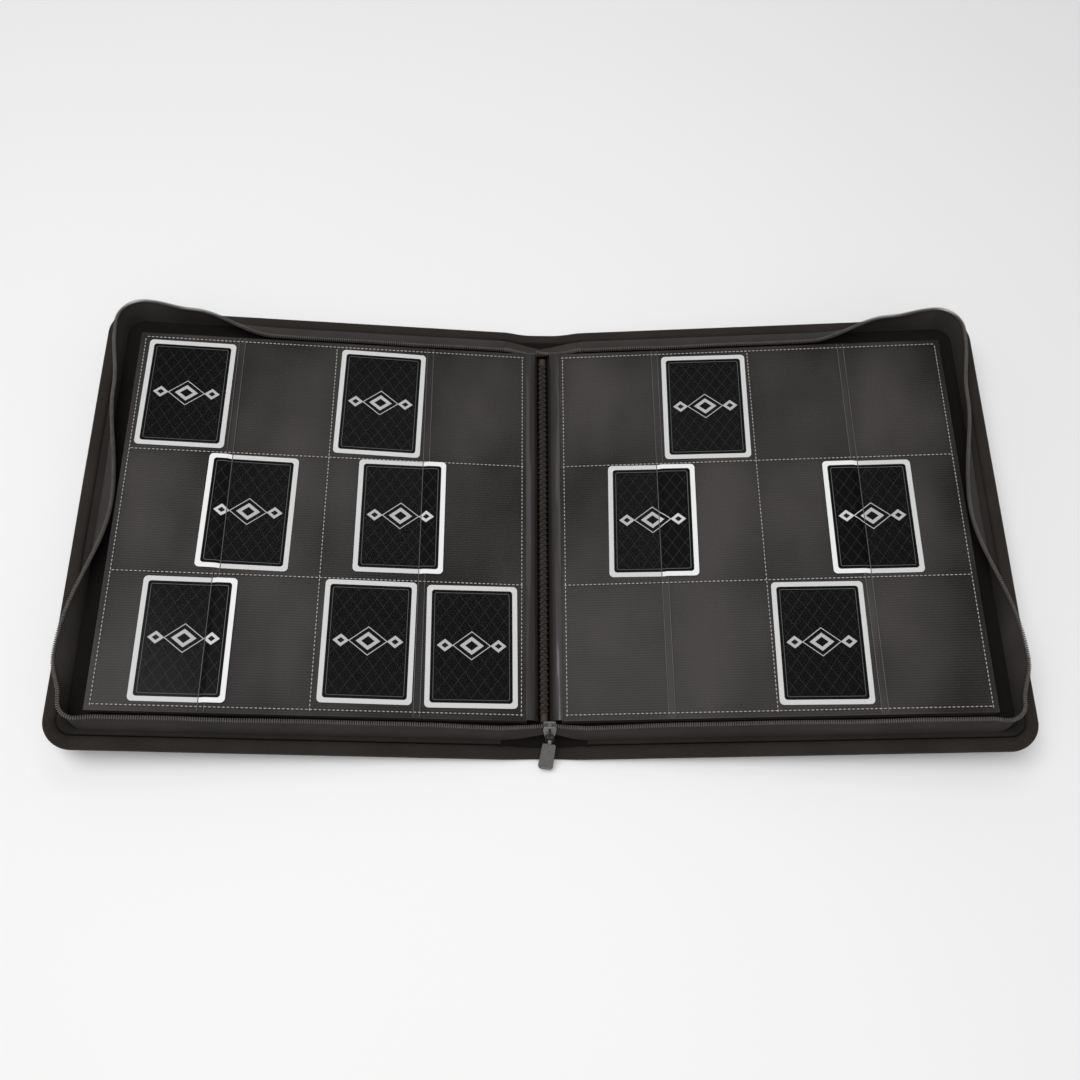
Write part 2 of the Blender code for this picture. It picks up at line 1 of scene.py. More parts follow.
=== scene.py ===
# %% [markdown]
# # A zip-round trading card binder
#
# This lesson dresses a working model of a binder that lies open. The model gives every piece its place
# and its motion. Here each piece gets its real surface: woven covers with a rolled edge, a zip tape that
# stands up and sways, glossy pocket film with sewn seams, and the cards.
#
# Cloth that follows an edge is made from a grid primitive whose points are moved to a formula, because
# one formula can hold the whole sweep. Hard pieces start as primitives and are shaped in edit mode.

# %% Load the frame
import json
import math

import bmesh
import bpy
from mathutils import Matrix, Vector, noise


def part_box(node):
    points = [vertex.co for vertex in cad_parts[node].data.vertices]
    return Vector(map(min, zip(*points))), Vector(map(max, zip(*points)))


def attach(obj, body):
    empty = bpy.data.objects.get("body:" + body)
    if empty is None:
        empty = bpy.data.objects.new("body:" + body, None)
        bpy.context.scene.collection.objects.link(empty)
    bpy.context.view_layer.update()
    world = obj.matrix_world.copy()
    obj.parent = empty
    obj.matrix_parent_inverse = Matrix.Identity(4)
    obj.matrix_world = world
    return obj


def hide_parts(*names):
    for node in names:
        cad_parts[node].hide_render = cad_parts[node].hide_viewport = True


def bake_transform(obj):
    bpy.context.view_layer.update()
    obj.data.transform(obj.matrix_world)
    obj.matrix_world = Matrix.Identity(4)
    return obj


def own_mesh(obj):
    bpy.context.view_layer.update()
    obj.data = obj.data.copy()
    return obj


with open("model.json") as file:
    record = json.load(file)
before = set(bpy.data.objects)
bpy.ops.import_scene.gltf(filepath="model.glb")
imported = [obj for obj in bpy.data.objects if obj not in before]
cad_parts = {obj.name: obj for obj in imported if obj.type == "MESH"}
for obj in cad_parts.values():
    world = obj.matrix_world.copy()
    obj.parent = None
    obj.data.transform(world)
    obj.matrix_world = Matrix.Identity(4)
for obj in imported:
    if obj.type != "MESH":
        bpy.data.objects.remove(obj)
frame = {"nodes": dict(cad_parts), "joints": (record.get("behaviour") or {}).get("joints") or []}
bpy.ops.object.select_all(action="DESELECT")
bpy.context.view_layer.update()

# %% [markdown]
# ## Measures
#
# Lengths are in metres. The hinges and the edges come from the frame. The heights of the layers are
# counted from the outer face of a cover, because the pages lie parallel to the covers.

# %% Measures
MM = 0.001
LEFT, RIGHT = -1, 1
SIDES = {LEFT: "left", RIGHT: "right"}

joint = {j["name"]: j for j in frame["joints"]}
hinge_x, _, hinge_z = joint["right_cover_hinge"]["pos_m"]
block_x, _, block_z = joint["right_block_hinge"]["pos_m"]

BOARD_THICKNESS = 2 * MM
board_low, board_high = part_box("right_cover_board")
tilt = math.atan((board_high.z - board_low.z - BOARD_THICKNESS) / (board_high.x - board_low.x))
binding_low, binding_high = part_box("right_edge_binding")
reach = (binding_high.x - hinge_x) / math.cos(tilt)
half_depth = binding_high.y
cover_start = (binding_low.x - hinge_x) / math.cos(tilt)

COVER_FACE = 7.5 * MM
CORNER = 20 * MM
PAGE_SHIFT = -2 * MM
COLUMN, ROW = 70.95 * MM, 94.9 * MM
GUTTER_SEAM = 15.6 * MM
PAGE_INNER = 12 * MM
PAGE_BORDER = 4 * MM
POCKET_GAP = 4.5 * MM
CORE_TOP = 17.6 * MM
CARD_HEIGHT_IN = 17.85 * MM
FILM_HEIGHT = 18.45 * MM
CARD_HEIGHT_OVER = 18.95 * MM
PAGE_OUTER = GUTTER_SEAM + 4 * COLUMN + PAGE_BORDER
PAGE_HALF = 1.5 * ROW + PAGE_BORDER
print("tilt", round(math.degrees(tilt), 2), "reach", round(reach, 4), "half depth", round(half_depth, 4))


def cover_point(side, along, y, height):
    """The place of a point `along` a cover from its hinge and `height` above its outer face."""
    rise = height - hinge_z
    x = hinge_x + along * math.cos(tilt) - rise * math.sin(tilt)
    z = hinge_z + along * math.sin(tilt) + rise * math.cos(tilt)
    return Vector((side * x, y, z))


def page_point(side, along, y, height):
    """The place of a point `along` a page from the middle of the gutter."""
    rise = height - block_z
    along -= (block_x - rise * math.sin(tilt)) / math.cos(tilt)
    x = block_x + along * math.cos(tilt) - rise * math.sin(tilt)
    z = block_z + along * math.sin(tilt) + rise * math.cos(tilt)
    return Vector((side * x, y + PAGE_SHIFT, z))


# %% [markdown]
# ## The camera
#
# The binder is seen from in front and from high up. A lens of about 40 mm at this distance gives the
# pages their taper towards the head.

# %% Camera
camera = bpy.data.objects.new("camera", bpy.data.cameras.new("camera"))
bpy.context.scene.collection.objects.link(camera)
camera.data.lens = 39.5
camera.data.sensor_width = 36.0
look_down = math.radians(66.0)
turn_in, roll = 0.0552, 0.0563
level = math.cos(look_down)
forward = Vector((math.sin(turn_in) * level, math.cos(turn_in) * level, -math.sin(look_down)))
camera.location = (-0.0217, -0.3624, 0.8018)
camera.rotation_mode = "QUATERNION"
camera.rotation_quaternion = forward.to_track_quat("-Z", "Y") @ Matrix.Rotation(roll, 3, "Z").to_quaternion()
camera.data.clip_start, camera.data.clip_end = 0.01, 20
bpy.context.scene.camera = camera
print("camera looks along", [round(x, 3) for x in forward])

# %% [markdown]
# ## Shader sums
#
# A pattern is easier to read as a sum than as a picture of nodes. `Value` wraps one socket, and Python's
# operators on it add Math nodes. `Finish` holds one material, and its `node` adds any other node.


# %% Shader sums
class Value:
    """A number that varies over a surface."""

    def __init__(self, tree, socket):
        self.tree, self.socket = tree, socket

    def maths(self, operation, *items):
        node = self.tree.nodes.new("ShaderNodeMath")
        node.operation = operation
        for slot, item in zip(node.inputs, items):
            connect(self.tree, slot, item)
        return Value(self.tree, node.outputs[0])

    def __add__(self, other):
        return self.maths("ADD", self, other)

    def __sub__(self, other):
        return self.maths("SUBTRACT", self, other)

    def __rsub__(self, other):
        return self.maths("SUBTRACT", other, self)

    def __mul__(self, other):
        return self.maths("MULTIPLY", self, other)

    def __truediv__(self, other):
        return self.maths("DIVIDE", self, other)

    __radd__ = __add__
    __rmul__ = __mul__

    def sine(self):
        return self.maths("SINE", self)

    def size(self):
        return self.maths("ABSOLUTE", self)

    def at_least(self, other):
        return self.maths("MAXIMUM", self, other)

    def at_most(self, other):
        return self.maths("MINIMUM", self, other)

    def power(self, other):
        return self.maths("POWER", self, other)

    def below(self, edge, soft):
        """1 where this is under the edge, 0 over it, with a soft step between."""
        share = (edge - self) / soft + 0.5
        return share.at_least(0.0).at_most(1.0)


def connect(tree, slot, item):
    if isinstance(item, Value):
        tree.links.new(item.socket, slot)
    elif isinstance(item, bpy.types.NodeSocket):
        tree.links.new(item, slot)
    else:
        slot.default_value = item


class Finish:
    """One material with a Principled shader."""

    def __init__(self, name, roughness=0.6, metallic=0.0, gloss=0.3, **plain):
        self.material = bpy.data.materials.new(name)
        self.material.use_nodes = True
        self.tree = self.material.node_tree
        self.shader = self.tree.nodes["Principled BSDF"]
        self.set("Roughness", roughness)
        self.set("Metallic", metallic)
        self.set("Specular IOR Level", gloss)
        for slot, item in plain.items():
            self.set(slot.replace("_", " "), item)

    def set(self, slot, item):
        connect(self.tree, self.shader.inputs[slot], item)

    def node(self, kind, settings=(), inputs=(), output=0):
        node = self.tree.nodes.new(kind)
        for key, item in dict(settings).items():
            setattr(node, key, item)
        for slot, item in dict(inputs).items():
            connect(self.tree, node.inputs[slot], item)
        return node.outputs[output]

    def value(self, *arguments, **named):
        return Value(self.tree, self.node(*arguments, **named))

    def place(self):
        return self.node("ShaderNodeTexCoord", output="Object")

    def parts(self, vector):
        split = self.tree.nodes.new("ShaderNodeSeparateXYZ")
        connect(self.tree, split.inputs[0], vector)
        return [Value(self.tree, socket) for socket in split.outputs]

    def map_parts(self):
        """The piece's own map, in millimetres along and across it."""
        return self.parts(self.node("ShaderNodeTexCoord", output="UV"))

    def cloud(self, scale, detail=2.0, stretch=(1.0, 1.0, 1.0)):
        scaled = self.node("ShaderNodeMapping", {}, {"Vector": self.place(), "Scale": stretch})
        return self.value("ShaderNodeTexNoise", {}, {"Vector": scaled, "Scale": scale, "Detail": detail})

    def mix(self, share, low, high):
        node = self.tree.nodes.new("ShaderNodeMix")
        node.data_type = "RGBA"
        for slot, item in zip((node.inputs[0], node.inputs[6], node.inputs[7]), (share, low, high)):
            connect(self.tree, slot, (*item, 1.0) if isinstance(item, tuple) else item)
        return node.outputs[2]

    def bump(self, height, distance, strength=1.0):
        dent = {"Height": height, "Distance": distance, "Strength": strength}
        self.set("Normal", self.node("ShaderNodeBump", {}, dent))


# %% [markdown]
# ## Cloth finishes
#
# All the cloth is the same family of dark warm grey. The covers and the rolled edge are a plain weave,
# where one set of threads goes over and under the other, so the height is a product of two waves. The
# zip tape is a twill, whose ribs run aslant. A slow cloud over each breaks up the dye.


# %% Cloth finishes
def plain_weave(name, colour, light, pitch, roughness=0.85):
    made = Finish(name, roughness, gloss=0.1, Sheen_Weight=0.02, Sheen_Roughness=0.5)
    along, across, _ = made.map_parts()
    warp = (along * (math.tau / pitch)).sine()
    weft = (across * (math.tau / pitch)).sine()
    height = warp * weft * 0.5 + 0.5
    wear = made.cloud(28.0, 4.0)
    shade = (height * 0.7 + wear * 0.6 - 0.15).at_least(0.0).at_most(1.0)
    made.set("Base Color", made.mix(shade, colour, light))
    made.bump(height + wear * 0.6, 0.3 * MM)
    return made.material


def twill(name, colour, light, pitch):
    made = Finish(name, 0.8, gloss=0.12, Sheen_Weight=0.02, Sheen_Roughness=0.5)
    along, across, _ = made.map_parts()
    rib = ((along + across * 0.8) * (math.tau / pitch)).sine() * 0.5 + 0.5
    thread = (across * (math.tau / (pitch * 0.8))).sine() * 0.5 + 0.5
    wear = made.cloud(35.0, 3.0)
    shade = (rib * 0.5 + thread * 0.2 + wear * 0.6 - 0.15).at_least(0.0).at_most(1.0)
    made.set("Base Color", made.mix(shade, colour, light))
    made.bump(rib * 0.7 + thread * 0.3, 0.15 * MM)
    return made.material


cover_cloth = plain_weave("cover_cloth", (0.009, 0.0074, 0.0067), (0.034, 0.0285, 0.026), 1.3)
edge_cloth = plain_weave("edge_cloth", (0.007, 0.0055, 0.0048), (0.044, 0.0365, 0.033), 1.9)
tape_cloth = twill("tape_cloth", (0.015, 0.0130, 0.012), (0.060, 0.053, 0.050), 1.2)
band_cloth = twill("band_cloth", (0.008, 0.0070, 0.0063), (0.030, 0.0255, 0.0235), 1.0)
lining_cloth = plain_weave("lining_cloth", (0.0045, 0.0034, 0.0032), (0.012, 0.0090, 0.0085), 0.9)

thread = Finish("seam_thread", 0.7)
thread.set("Base Color", thread.mix(thread.cloud(90.0, 2.0), (0.26, 0.24, 0.22), (0.58, 0.55, 0.52)))
# The lacing cord is coloured near black as painted shade, for the dark slits in the fold that it runs
# through.
dark_thread = Finish("dark_thread", 0.5)
lace_shade_cloud = dark_thread.cloud(90.0, 2.0)
dark_thread.set("Base Color", dark_thread.mix(lace_shade_cloud, (0.010, 0.0085, 0.008), (0.034, 0.030, 0.028)))
print("cloth finishes", [m.name for m in (cover_cloth, edge_cloth, tape_cloth, band_cloth, lining_cloth)])

# %% [markdown]
# ## Page finishes
#
# A pocket page is a black sheet with clear film over it. The film is nearly see-through, so it mostly
# shows as gloss: very fine ribs run across it, and it is never quite flat, so a slow bump makes the
# reflections drift. The sheet's cut edges look a little brown.


# %% Page finishes
def page_sheet(name, colour, light):
    made = Finish(name, 0.55, gloss=0.2)
    made.set("Base Color", made.mix(made.cloud(20.0, 3.0), colour, light))
    made.bump(made.cloud(300.0, 2.0), 0.02 * MM)
    return made.material


def ribbed_page(name, colour, light):
    """A page sheet as it shows through its film, with fine ribs across it, a painted cloudy sheen and painted
    shade towards the pocket seams.
    """
    made = Finish(name, 0.5, gloss=0.2)
    across, height, _ = made.parts(made.place())
    ribs = (height * (math.tau / (1.9 * MM))).sine() * 0.5 + 0.5
    column = ((across.size() - GUTTER_SEAM) * (math.pi / COLUMN)).sine().size()
    row = ((height - PAGE_SHIFT) * (math.pi / ROW) + math.pi / 2).sine().size()
    painted_pocket_light = (column * row).power(0.5)
    sheen = made.cloud(13.0, 2.0, (1.0, 0.6, 1.0)) * 4.4 - 1.8
    # Painted light in the colour: the sheen cloud is a painted reflection of the film, and the pocket pattern
    # is a painted highlight in each pocket's middle with painted shade at its seams.
    shade = (sheen * 0.55 + painted_pocket_light * 0.3 + ribs * 0.28 - 0.08).at_least(0.0).at_most(1.0)
    made.set("Base Color", made.mix(shade, colour, light))
    made.bump(ribs, 0.02 * MM)
    return made.material


page_black = ribbed_page("page_black", (0.012, 0.0100, 0.0092), (0.062, 0.055, 0.054))
leaf_edge = page_sheet("leaf_edge", (0.020, 0.0135, 0.010), (0.070, 0.050, 0.038))

pocket_film = Finish("pocket_film", 0.22, gloss=0.22, Alpha=0.07)
billow = pocket_film.cloud(9.0, 1.0, (1.0, 0.55, 1.0))
pocket_film.set("Base Color", pocket_film.mix(billow, (0.008, 0.007, 0.007), (0.024, 0.023, 0.024)))
pocket_film.set("Roughness", billow * 0.14 + 0.14)
pocket_film.bump(billow, 3.0 * MM)
# The pocket lips are thin beads on the film's free edges, coloured light grey as a painted glint of those
# edges.
film_lip = Finish("film_lip", 0.35, gloss=0.5)
lip_glint_cloud = film_lip.cloud(30.0, 2.0)
film_lip.set("Base Color", film_lip.mix(lip_glint_cloud, (0.045, 0.042, 0.042), (0.13, 0.125, 0.125)))
print("film is", pocket_film.shader.inputs["Alpha"].default_value, "solid")

# %% [markdown]
# ## The face of a card
#
# Every card has the same plain printed back: a white border, a black panel with round corners and a thin
# grey line inside it. The ornament is a row of diamonds over a faint diamond lattice. Each shape is a
# distance, so its outline stays sharp however near the eye comes.

# %% The face of a card
CARD_WIDTH, CARD_HEIGHT = 63.5, 88.9
card_print = Finish("card_print", 0.35, gloss=0.05)
card_x, card_y, _ = card_print.map_parts()
card_x, card_y = card_x - CARD_WIDTH / 2, card_y - CARD_HEIGHT / 2


def round_box(inset, corner):
    """How far outside a rounded rectangle a point of the card is, in millimetres."""
    side_x = card_x.size() - (CARD_WIDTH / 2 - inset - corner)
    side_y = card_y.size() - (CARD_HEIGHT / 2 - inset - corner)
    outside = (side_x.at_least(0.0).power(2.0) + side_y.at_least(0.0).power(2.0)).power(0.5)
    return outside + side_x.at_least(side_y).at_most(0.0) - corner


def diamond(centre_x, width, height):
    """How far outside a diamond a point is, as a share of the diamond's size."""
    return (card_x - centre_x).size() / width + card_y.size() / height - 1.0


def line(distance, half_width, soft=0.12):
    return distance.size().below(half_width, soft)


panel = round_box(3.4, 2.2).below(0.0, 0.2)
frame_line = line(round_box(5.6, 1.4), 0.16)
lattice = line(((card_x / 9.0 + card_y / 12.6) * math.pi).sine(), 0.035, 0.03)
lattice = lattice.at_least(line(((card_x / 9.0 - card_y / 12.6) * math.pi).sine(), 0.035, 0.03))
inside = round_box(6.6, 1.2).below(0.0, 0.3)
medal = diamond(0.0, 15.0, 12.0).below(0.0, 0.02)
ornament = line(diamond(0.0, 13.0, 10.2), 0.035, 0.02)
hollow = 1 - diamond(0.0, 4.6, 3.6).below(0.0, 0.05)
ornament = ornament.at_least(diamond(0.0, 8.4, 6.6).below(0.0, 0.03) * hollow)
for middle in (-18.5, 18.5):
    hollow = 1 - diamond(middle, 2.6, 2.1).below(0.0, 0.06)
    ornament = ornament.at_least(diamond(middle, 5.6, 4.6).below(0.0, 0.04) * hollow)
ink = (frame_line * 0.16 + lattice * inside * (1 - medal) * 0.05 + ornament * 0.62).at_most(0.62)
face = card_print.mix(ink, (0.0028, 0.0028, 0.003), (0.95, 0.95, 0.96))
card_print.set("Base Color", card_print.mix(panel, (0.80, 0.80, 0.80), face))
card_print.bump(card_print.cloud(120.0, 1.0), 0.01 * MM)
print("card print has", len(card_print.tree.nodes), "nodes")

# %% [markdown]
# ## Metal and plastic
#
# The slider is dark plated metal and the pull tab is a brushed grey one. Handling rubs the edges, so the
# cloud also moves the roughness. The zip's coil is nylon, with a soft shine.


# %% Metal and plastic
def rubbed(name, colour, light, roughness, metallic, stretch=(1.0, 1.0, 1.0)):
    made = Finish(name, roughness, metallic)
    rub = made.cloud(240.0, 4.0, stretch)
    made.set("Base Color", made.mix(rub, colour, light))
    made.set("Roughness", rub * 0.2 + (roughness - 0.1))
    made.bump(made.cloud(1800.0, 2.0, stretch), 0.01 * MM)
    return made.material


slider_metal = rubbed("slider_metal", (0.13, 0.125, 0.12), (0.26, 0.25, 0.24), 0.42, 0.5)
tab_metal = rubbed("tab_metal", (0.13, 0.125, 0.12), (0.21, 0.205, 0.20), 0.42, 0.55, (6.0, 1.0, 1.0))
black_metal = rubbed("black_metal", (0.012, 0.011, 0.011), (0.035, 0.033, 0.032), 0.4, 0.3)
coil_nylon = rubbed("coil_nylon", (0.060, 0.053, 0.049), (0.15, 0.137, 0.128), 0.42, 0.0)
greyboard = page_sheet("greyboard", (0.20, 0.17, 0.14), (0.33, 0.29, 0.24))
foam = page_sheet("foam", (0.05, 0.05, 0.05), (0.09, 0.09, 0.09))
print("metals", slider_metal.name, tab_metal.name)

# %% [markdown]
# ## Tools for making
#
# Four helpers make most of the binder. `sheet_of` moves a grid primitive to a formula and keeps a map in
# millimetres, which the weaves follow. `closed_sweep` does the same with a section that closes on
# itself. `many` repeats one small shape. `place_piece` gives a piece its finish and, when it has one body,
# hangs it on that body.


# %% Tools for making
def only(piece):
    bpy.ops.object.select_all(action="DESELECT")
    bpy.context.view_layer.objects.active = piece
    piece.select_set(True)


def apply_modifier(piece, kind, **settings):
    only(piece)
    change = piece.modifiers.new(kind.lower(), kind)
    for key, item in settings.items():
        setattr(change, key, item)
    bpy.ops.object.modifier_apply(modifier=change.name)


def edit(piece, *steps):
    """Run edit-mode operators on the whole piece. Each step is (operator, settings)."""
    only(piece)
    bpy.ops.object.mode_set(mode="EDIT")
    bpy.ops.mesh.select_all(action="SELECT")
    for operator, settings in steps:
        operator(**settings)
    bpy.ops.object.mode_set(mode="OBJECT")


def outward(piece):
    edit(piece, (bpy.ops.mesh.normals_make_consistent, {"inside": False}))


def smooth(piece, degrees=40):
    only(piece)
    bpy.ops.object.shade_smooth_by_angle(angle=math.radians(degrees))


def moved_grid(name, columns, rows, place, size):
    bpy.ops.mesh.primitive_grid_add(x_subdivisions=columns, y_subdivisions=rows, size=1.0)
    piece = bpy.context.active_object
    piece.name = name
    shares = [(v.co.x + 0.5, v.co.y + 0.5) for v in piece.data.vertices]
    for vertex, (u, v) in zip(piece.data.vertices, shares):
        vertex.co = place(u, v)
    uv = piece.data.uv_layers.active.data
    for loop in piece.data.loops:
        u, v = shares[loop.vertex_index]
        uv[loop.index].uv = (u * size[0] / MM, v * size[1] / MM)
    return piece


def sheet_of(name, columns, rows, place, size, thickness):
    piece = moved_grid(name, columns, rows, place, size)
    apply_modifier(piece, "SOLIDIFY", thickness=thickness, offset=0.0)
    outward(piece)
    smooth(piece)
    return piece


def closed_sweep(name, columns, rows, place, size):
    """A sweep whose section ends where it starts. Its two ends are filled."""
    piece = moved_grid(name, columns, rows, place, size)
    edit(
        piece,
        (bpy.ops.mesh.remove_doubles, {"threshold": 0.01 * MM}),
        (bpy.ops.mesh.fill_holes, {"sides": 0}),
        (bpy.ops.mesh.normals_make_consistent, {"inside": False}),
    )
    smooth(piece, 50)
    return piece


def many(name, shape, places):
    """One mesh with a copy of a small object at each 4x4 placement. The small object is removed."""
    made = bmesh.new()
    for spot in places:
        start = len(made.verts)
        made.from_mesh(shape.data)
        made.verts.ensure_lookup_table()
        bmesh.ops.transform(made, matrix=spot, verts=made.verts[start:])
    mesh = bpy.data.meshes.new(name)
    made.to_mesh(mesh)
    made.free()
    bpy.data.objects.remove(shape)
    piece = bpy.data.objects.new(name, mesh)
    bpy.context.scene.collection.objects.link(piece)
    smooth(piece, 60)
    return piece


def place_piece(piece, finish, body, slot, *nodes):
    """Give a piece its material, hang it on its body when it has one, and hide the CAD nodes it replaces. A
    pair of bodies is not used.
    """
    piece.data.materials.clear()
    piece.data.materials.append(finish)
    if isinstance(body, str):
        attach(piece, body)
    else:
        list(body)
        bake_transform(piece)
    if nodes:
        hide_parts(*nodes)
    return piece


def ease(share):
    share = max(0.0, min(1.0, share))
    return share * share * (3 - 2 * share)


def between(stations, position):
    """A value that eases from one station (position, value) to the next."""
    for (start, low), (end, high) in zip(stations, stations[1:]):
        if position <= end:
            return low + (high - low) * ease((position - start) / (end - start))
    return stations[-1][1]


def wander(*place, scale=1.0):
    """A smooth random number between about -1 and 1."""
    return noise.noise(Vector(place) * scale)


# %% [markdown]
# ## Round the rim
#
# The rolled edge, the band, the tape and the coil all follow three sides of a cover. `rim` gives the
# same number of stations for any inset, so that two lines at different insets can be joined up.

# %% Round the rim
RUN, TURN = 46, 14


def rim(inset_side, inset_tail, inset_head, corner):
    """Stations round a cover's free sides, from the tail to the head: (along, y, inward along, inward y)."""
    far, tail, head = reach - inset_side, -half_depth + inset_tail, half_depth - inset_head
    stations = []
    for i in range(RUN):
        stations.append((cover_start + (far - corner - cover_start) * i / RUN, tail, 0.0, 1.0))
    for i in range(TURN + 1):
        angle = -math.pi / 2 + math.pi / 2 * i / TURN
        x, y = far - corner + corner * math.cos(angle), tail + corner + corner * math.sin(angle)
        stations.append((x, y, -math.cos(angle), -math.sin(angle)))
    for i in range(1, RUN):
        stations.append((far, tail + corner + (head - tail - 2 * corner) * i / RUN, -1.0, 0.0))
    for i in range(TURN + 1):
        angle = math.pi / 2 * i / TURN
        x, y = far - corner + corner * math.cos(angle), head - corner + corner * math.sin(angle)
        stations.append((x, y, -math.cos(angle), -math.sin(angle)))
    for i in range(1, RUN + 1):
        stations.append((far - corner - (far - corner - cover_start) * i / RUN, head, 0.0, -1.0))
    return stations


def lengths_of(stations):
    total = [0.0]
    for before, after in zip(stations, stations[1:]):
        total.append(total[-1] + math.hypot(after[0] - before[0], after[1] - before[1]))
    return total


outer_rim = rim(0.0, 0.0, 0.0, CORNER)
rim_length = lengths_of(outer_rim)[-1]
COLUMNS = len(outer_rim) - 1
print("rim", len(outer_rim), "stations,", round(rim_length, 3), "m")

# %% [markdown]
# ## Rolled edge and band
#
# The cover's cloth is rolled round its padding into a soft bead about nine millimetres wide. Inside it a
# narrow band is sewn down over the root of the zip tape, and a groove is left between the two. The bead
# is a rounded section swept round the rim, with a slow change of size, because a hand-turned edge is
# never even.

# %% Rolled edge and band
BEAD_WIDTH, BEAD_HEIGHT = 9.2 * MM, 8.3 * MM
BAND_START = 9.5 * MM
TAPE_INSET_SIDE = 15.2 * MM
TAPE_INSET_TAIL = half_depth - 158.8 * MM
TAPE_INSET_HEAD = half_depth - 161.6 * MM


def bead_offset(v, size):
    """(inset, height) of a point round the bead, as a rounded rectangle."""
    angle = math.tau * v
    c, s = math.cos(angle), math.sin(angle)
    inset = BEAD_WIDTH / 2 - BEAD_WIDTH / 2 * size * math.copysign(abs(c) ** 0.72, c)
    height = BEAD_HEIGHT / 2 + BEAD_HEIGHT / 2 * size * math.copysign(abs(s) ** 0.72, s)
    return inset, height


def make_bead(side):
    def place(u, v):
        x, y, inward_x, inward_y = outer_rim[round(u * COLUMNS)]
        size = 1.0 + 0.018 * wander(x, y, side, scale=22.0)
        inset, height = bead_offset(v, size)
        return cover_point(side, x + inward_x * inset, y + inward_y * inset, height)

    piece = closed_sweep(SIDES[side] + "_rolled_edge", COLUMNS, 20, place, (rim_length, 28 * MM))
    place_piece(piece, edge_cloth, SIDES[side] + "_cover", "edge_binding", SIDES[side] + "_edge_binding")
    return piece


def make_band(side):
    outside = rim(BAND_START, BAND_START, BAND_START, CORNER - BAND_START)
    margin = 0.6 * MM
    within = rim(TAPE_INSET_SIDE + margin, TAPE_INSET_TAIL + margin, TAPE_INSET_HEAD + margin, 9 * MM)

    def place(u, v):
        i = round(u * COLUMNS)
        share = (1 - math.cos(math.tau * v)) / 2
        x = outside[i][0] + (within[i][0] - outside[i][0]) * share
        y = outside[i][1] + (within[i][1] - outside[i][1]) * share
        swell = (0.95 * MM if v < 0.5 else -0.4 * MM) * abs(math.sin(math.tau * v)) ** 0.6
        height = COVER_FACE - 0.3 * MM + swell
        return cover_point(side, x, y, height)

    piece = closed_sweep(SIDES[side] + "_sewn_band", COLUMNS, 12, place, (rim_length, 12 * MM))
    return place_piece(piece, band_cloth, SIDES[side] + "_cover", "edge_binding")


for side in SIDES:
    make_bead(side)
    make_band(side)
print("rolled edges and bands made")

# %% [markdown]
# ## Padded covers and linings
#
# Each cover is a board with foam over it, so its outer cloth swells a little between the edges, most of
# all in the middle. A grid with that swell worked out in code is enough, because nothing presses on it.
# The lining lies flat, with a few faint ripples.

# %% Padded covers and linings
PAD_SWELL = 1.3 * MM


def make_pad(side):
    name = SIDES[side]
    inset = BEAD_WIDTH - 0.6 * MM
    width, depth = reach - inset - cover_start, 2 * (half_depth - inset)

    def place(u, v):
        x, y = cover_start + width * u, -depth / 2 + depth * v
        swell = (1 - (2 * u - 1) ** 8) * (1 - (2 * v - 1) ** 8)
        ripple = 0.12 * MM * wander(x, y, side, scale=30.0)
        corner_x, corner_y = x - (reach - CORNER), abs(y) - (half_depth - CORNER)
        if corner_x > 0 and corner_y > 0:
            pull = max(1.0, math.hypot(corner_x, corner_y) / (CORNER - inset))
            x = reach - CORNER + corner_x / pull
            y = math.copysign(half_depth - CORNER + corner_y / pull, y)
        return cover_point(side, x, y, 0.9 * MM - PAD_SWELL * swell + ripple * swell)

    piece = sheet_of(name + "_padded_cover", 70, 80, place, (width, depth), 0.8 * MM)
    place_piece(piece, cover_cloth, name + "_cover", "cover_fabric", name + "_cover_skin")


def make_lining(side):
    name = SIDES[side]
    width, depth = reach - TAPE_INSET_SIDE - cover_start, 2 * half_depth - TAPE_INSET_TAIL - TAPE_INSET_HEAD

    def place(u, v):
        x, y = cover_start + width * u, -half_depth + TAPE_INSET_TAIL + depth * v
        return cover_point(side, x, y, COVER_FACE - 0.35 * MM + 0.2 * MM * wander(x, y, 3.0, scale=25.0))

    piece = sheet_of(name + "_lining_cloth", 50, 60, place, (width, depth), 0.6 * MM)
    place_piece(piece, lining_cloth, name + "_cover", "lining_fabric", name + "_cover_lining")


for side in SIDES:
    make_pad(side)
    make_lining(side)
for name in SIDES.values():
    frame["nodes"][name + "_cover_board"].data.materials.clear()
    frame["nodes"][name + "_cover_board"].data.materials.append(greyboard)
    frame["nodes"][name + "_cover_foam"].data.materials.clear()
    frame["nodes"][name + "_cover_foam"].data.materials.append(foam)
frame["nodes"]["spine_board"].data.materials.clear()
frame["nodes"]["spine_board"].data.materials.append(greyboard)
print("covers made")

# %% [markdown]
# ## The zip tape
#
# The tape is sewn in at its root and free at its top, so an open zip sways: it leans out at the corners,
# where the longer way round pulls it, and in at the middle of each side. The lean eases from one to the
# other. At the head it has fallen over the edge of the pages. The closing zip pulls it upright and lower.

# %% The zip tape
TAPE_HEIGHT = 18 * MM
TAPE_LEAN = [
    (0.0, 10),
    (0.1, 13),
    (0.3, 12),
    (0.335, -5),
    (0.37, -31),
    (0.5, 38),
    (0.6, 6),
    (0.66, -14),
    (0.69, -18),
    (0.73, 0),
    (0.8, 52),
]

tape_rim = rim(TAPE_INSET_SIDE, TAPE_INSET_TAIL, TAPE_INSET_HEAD, 14 * MM)
tape_lengths = lengths_of(tape_rim)


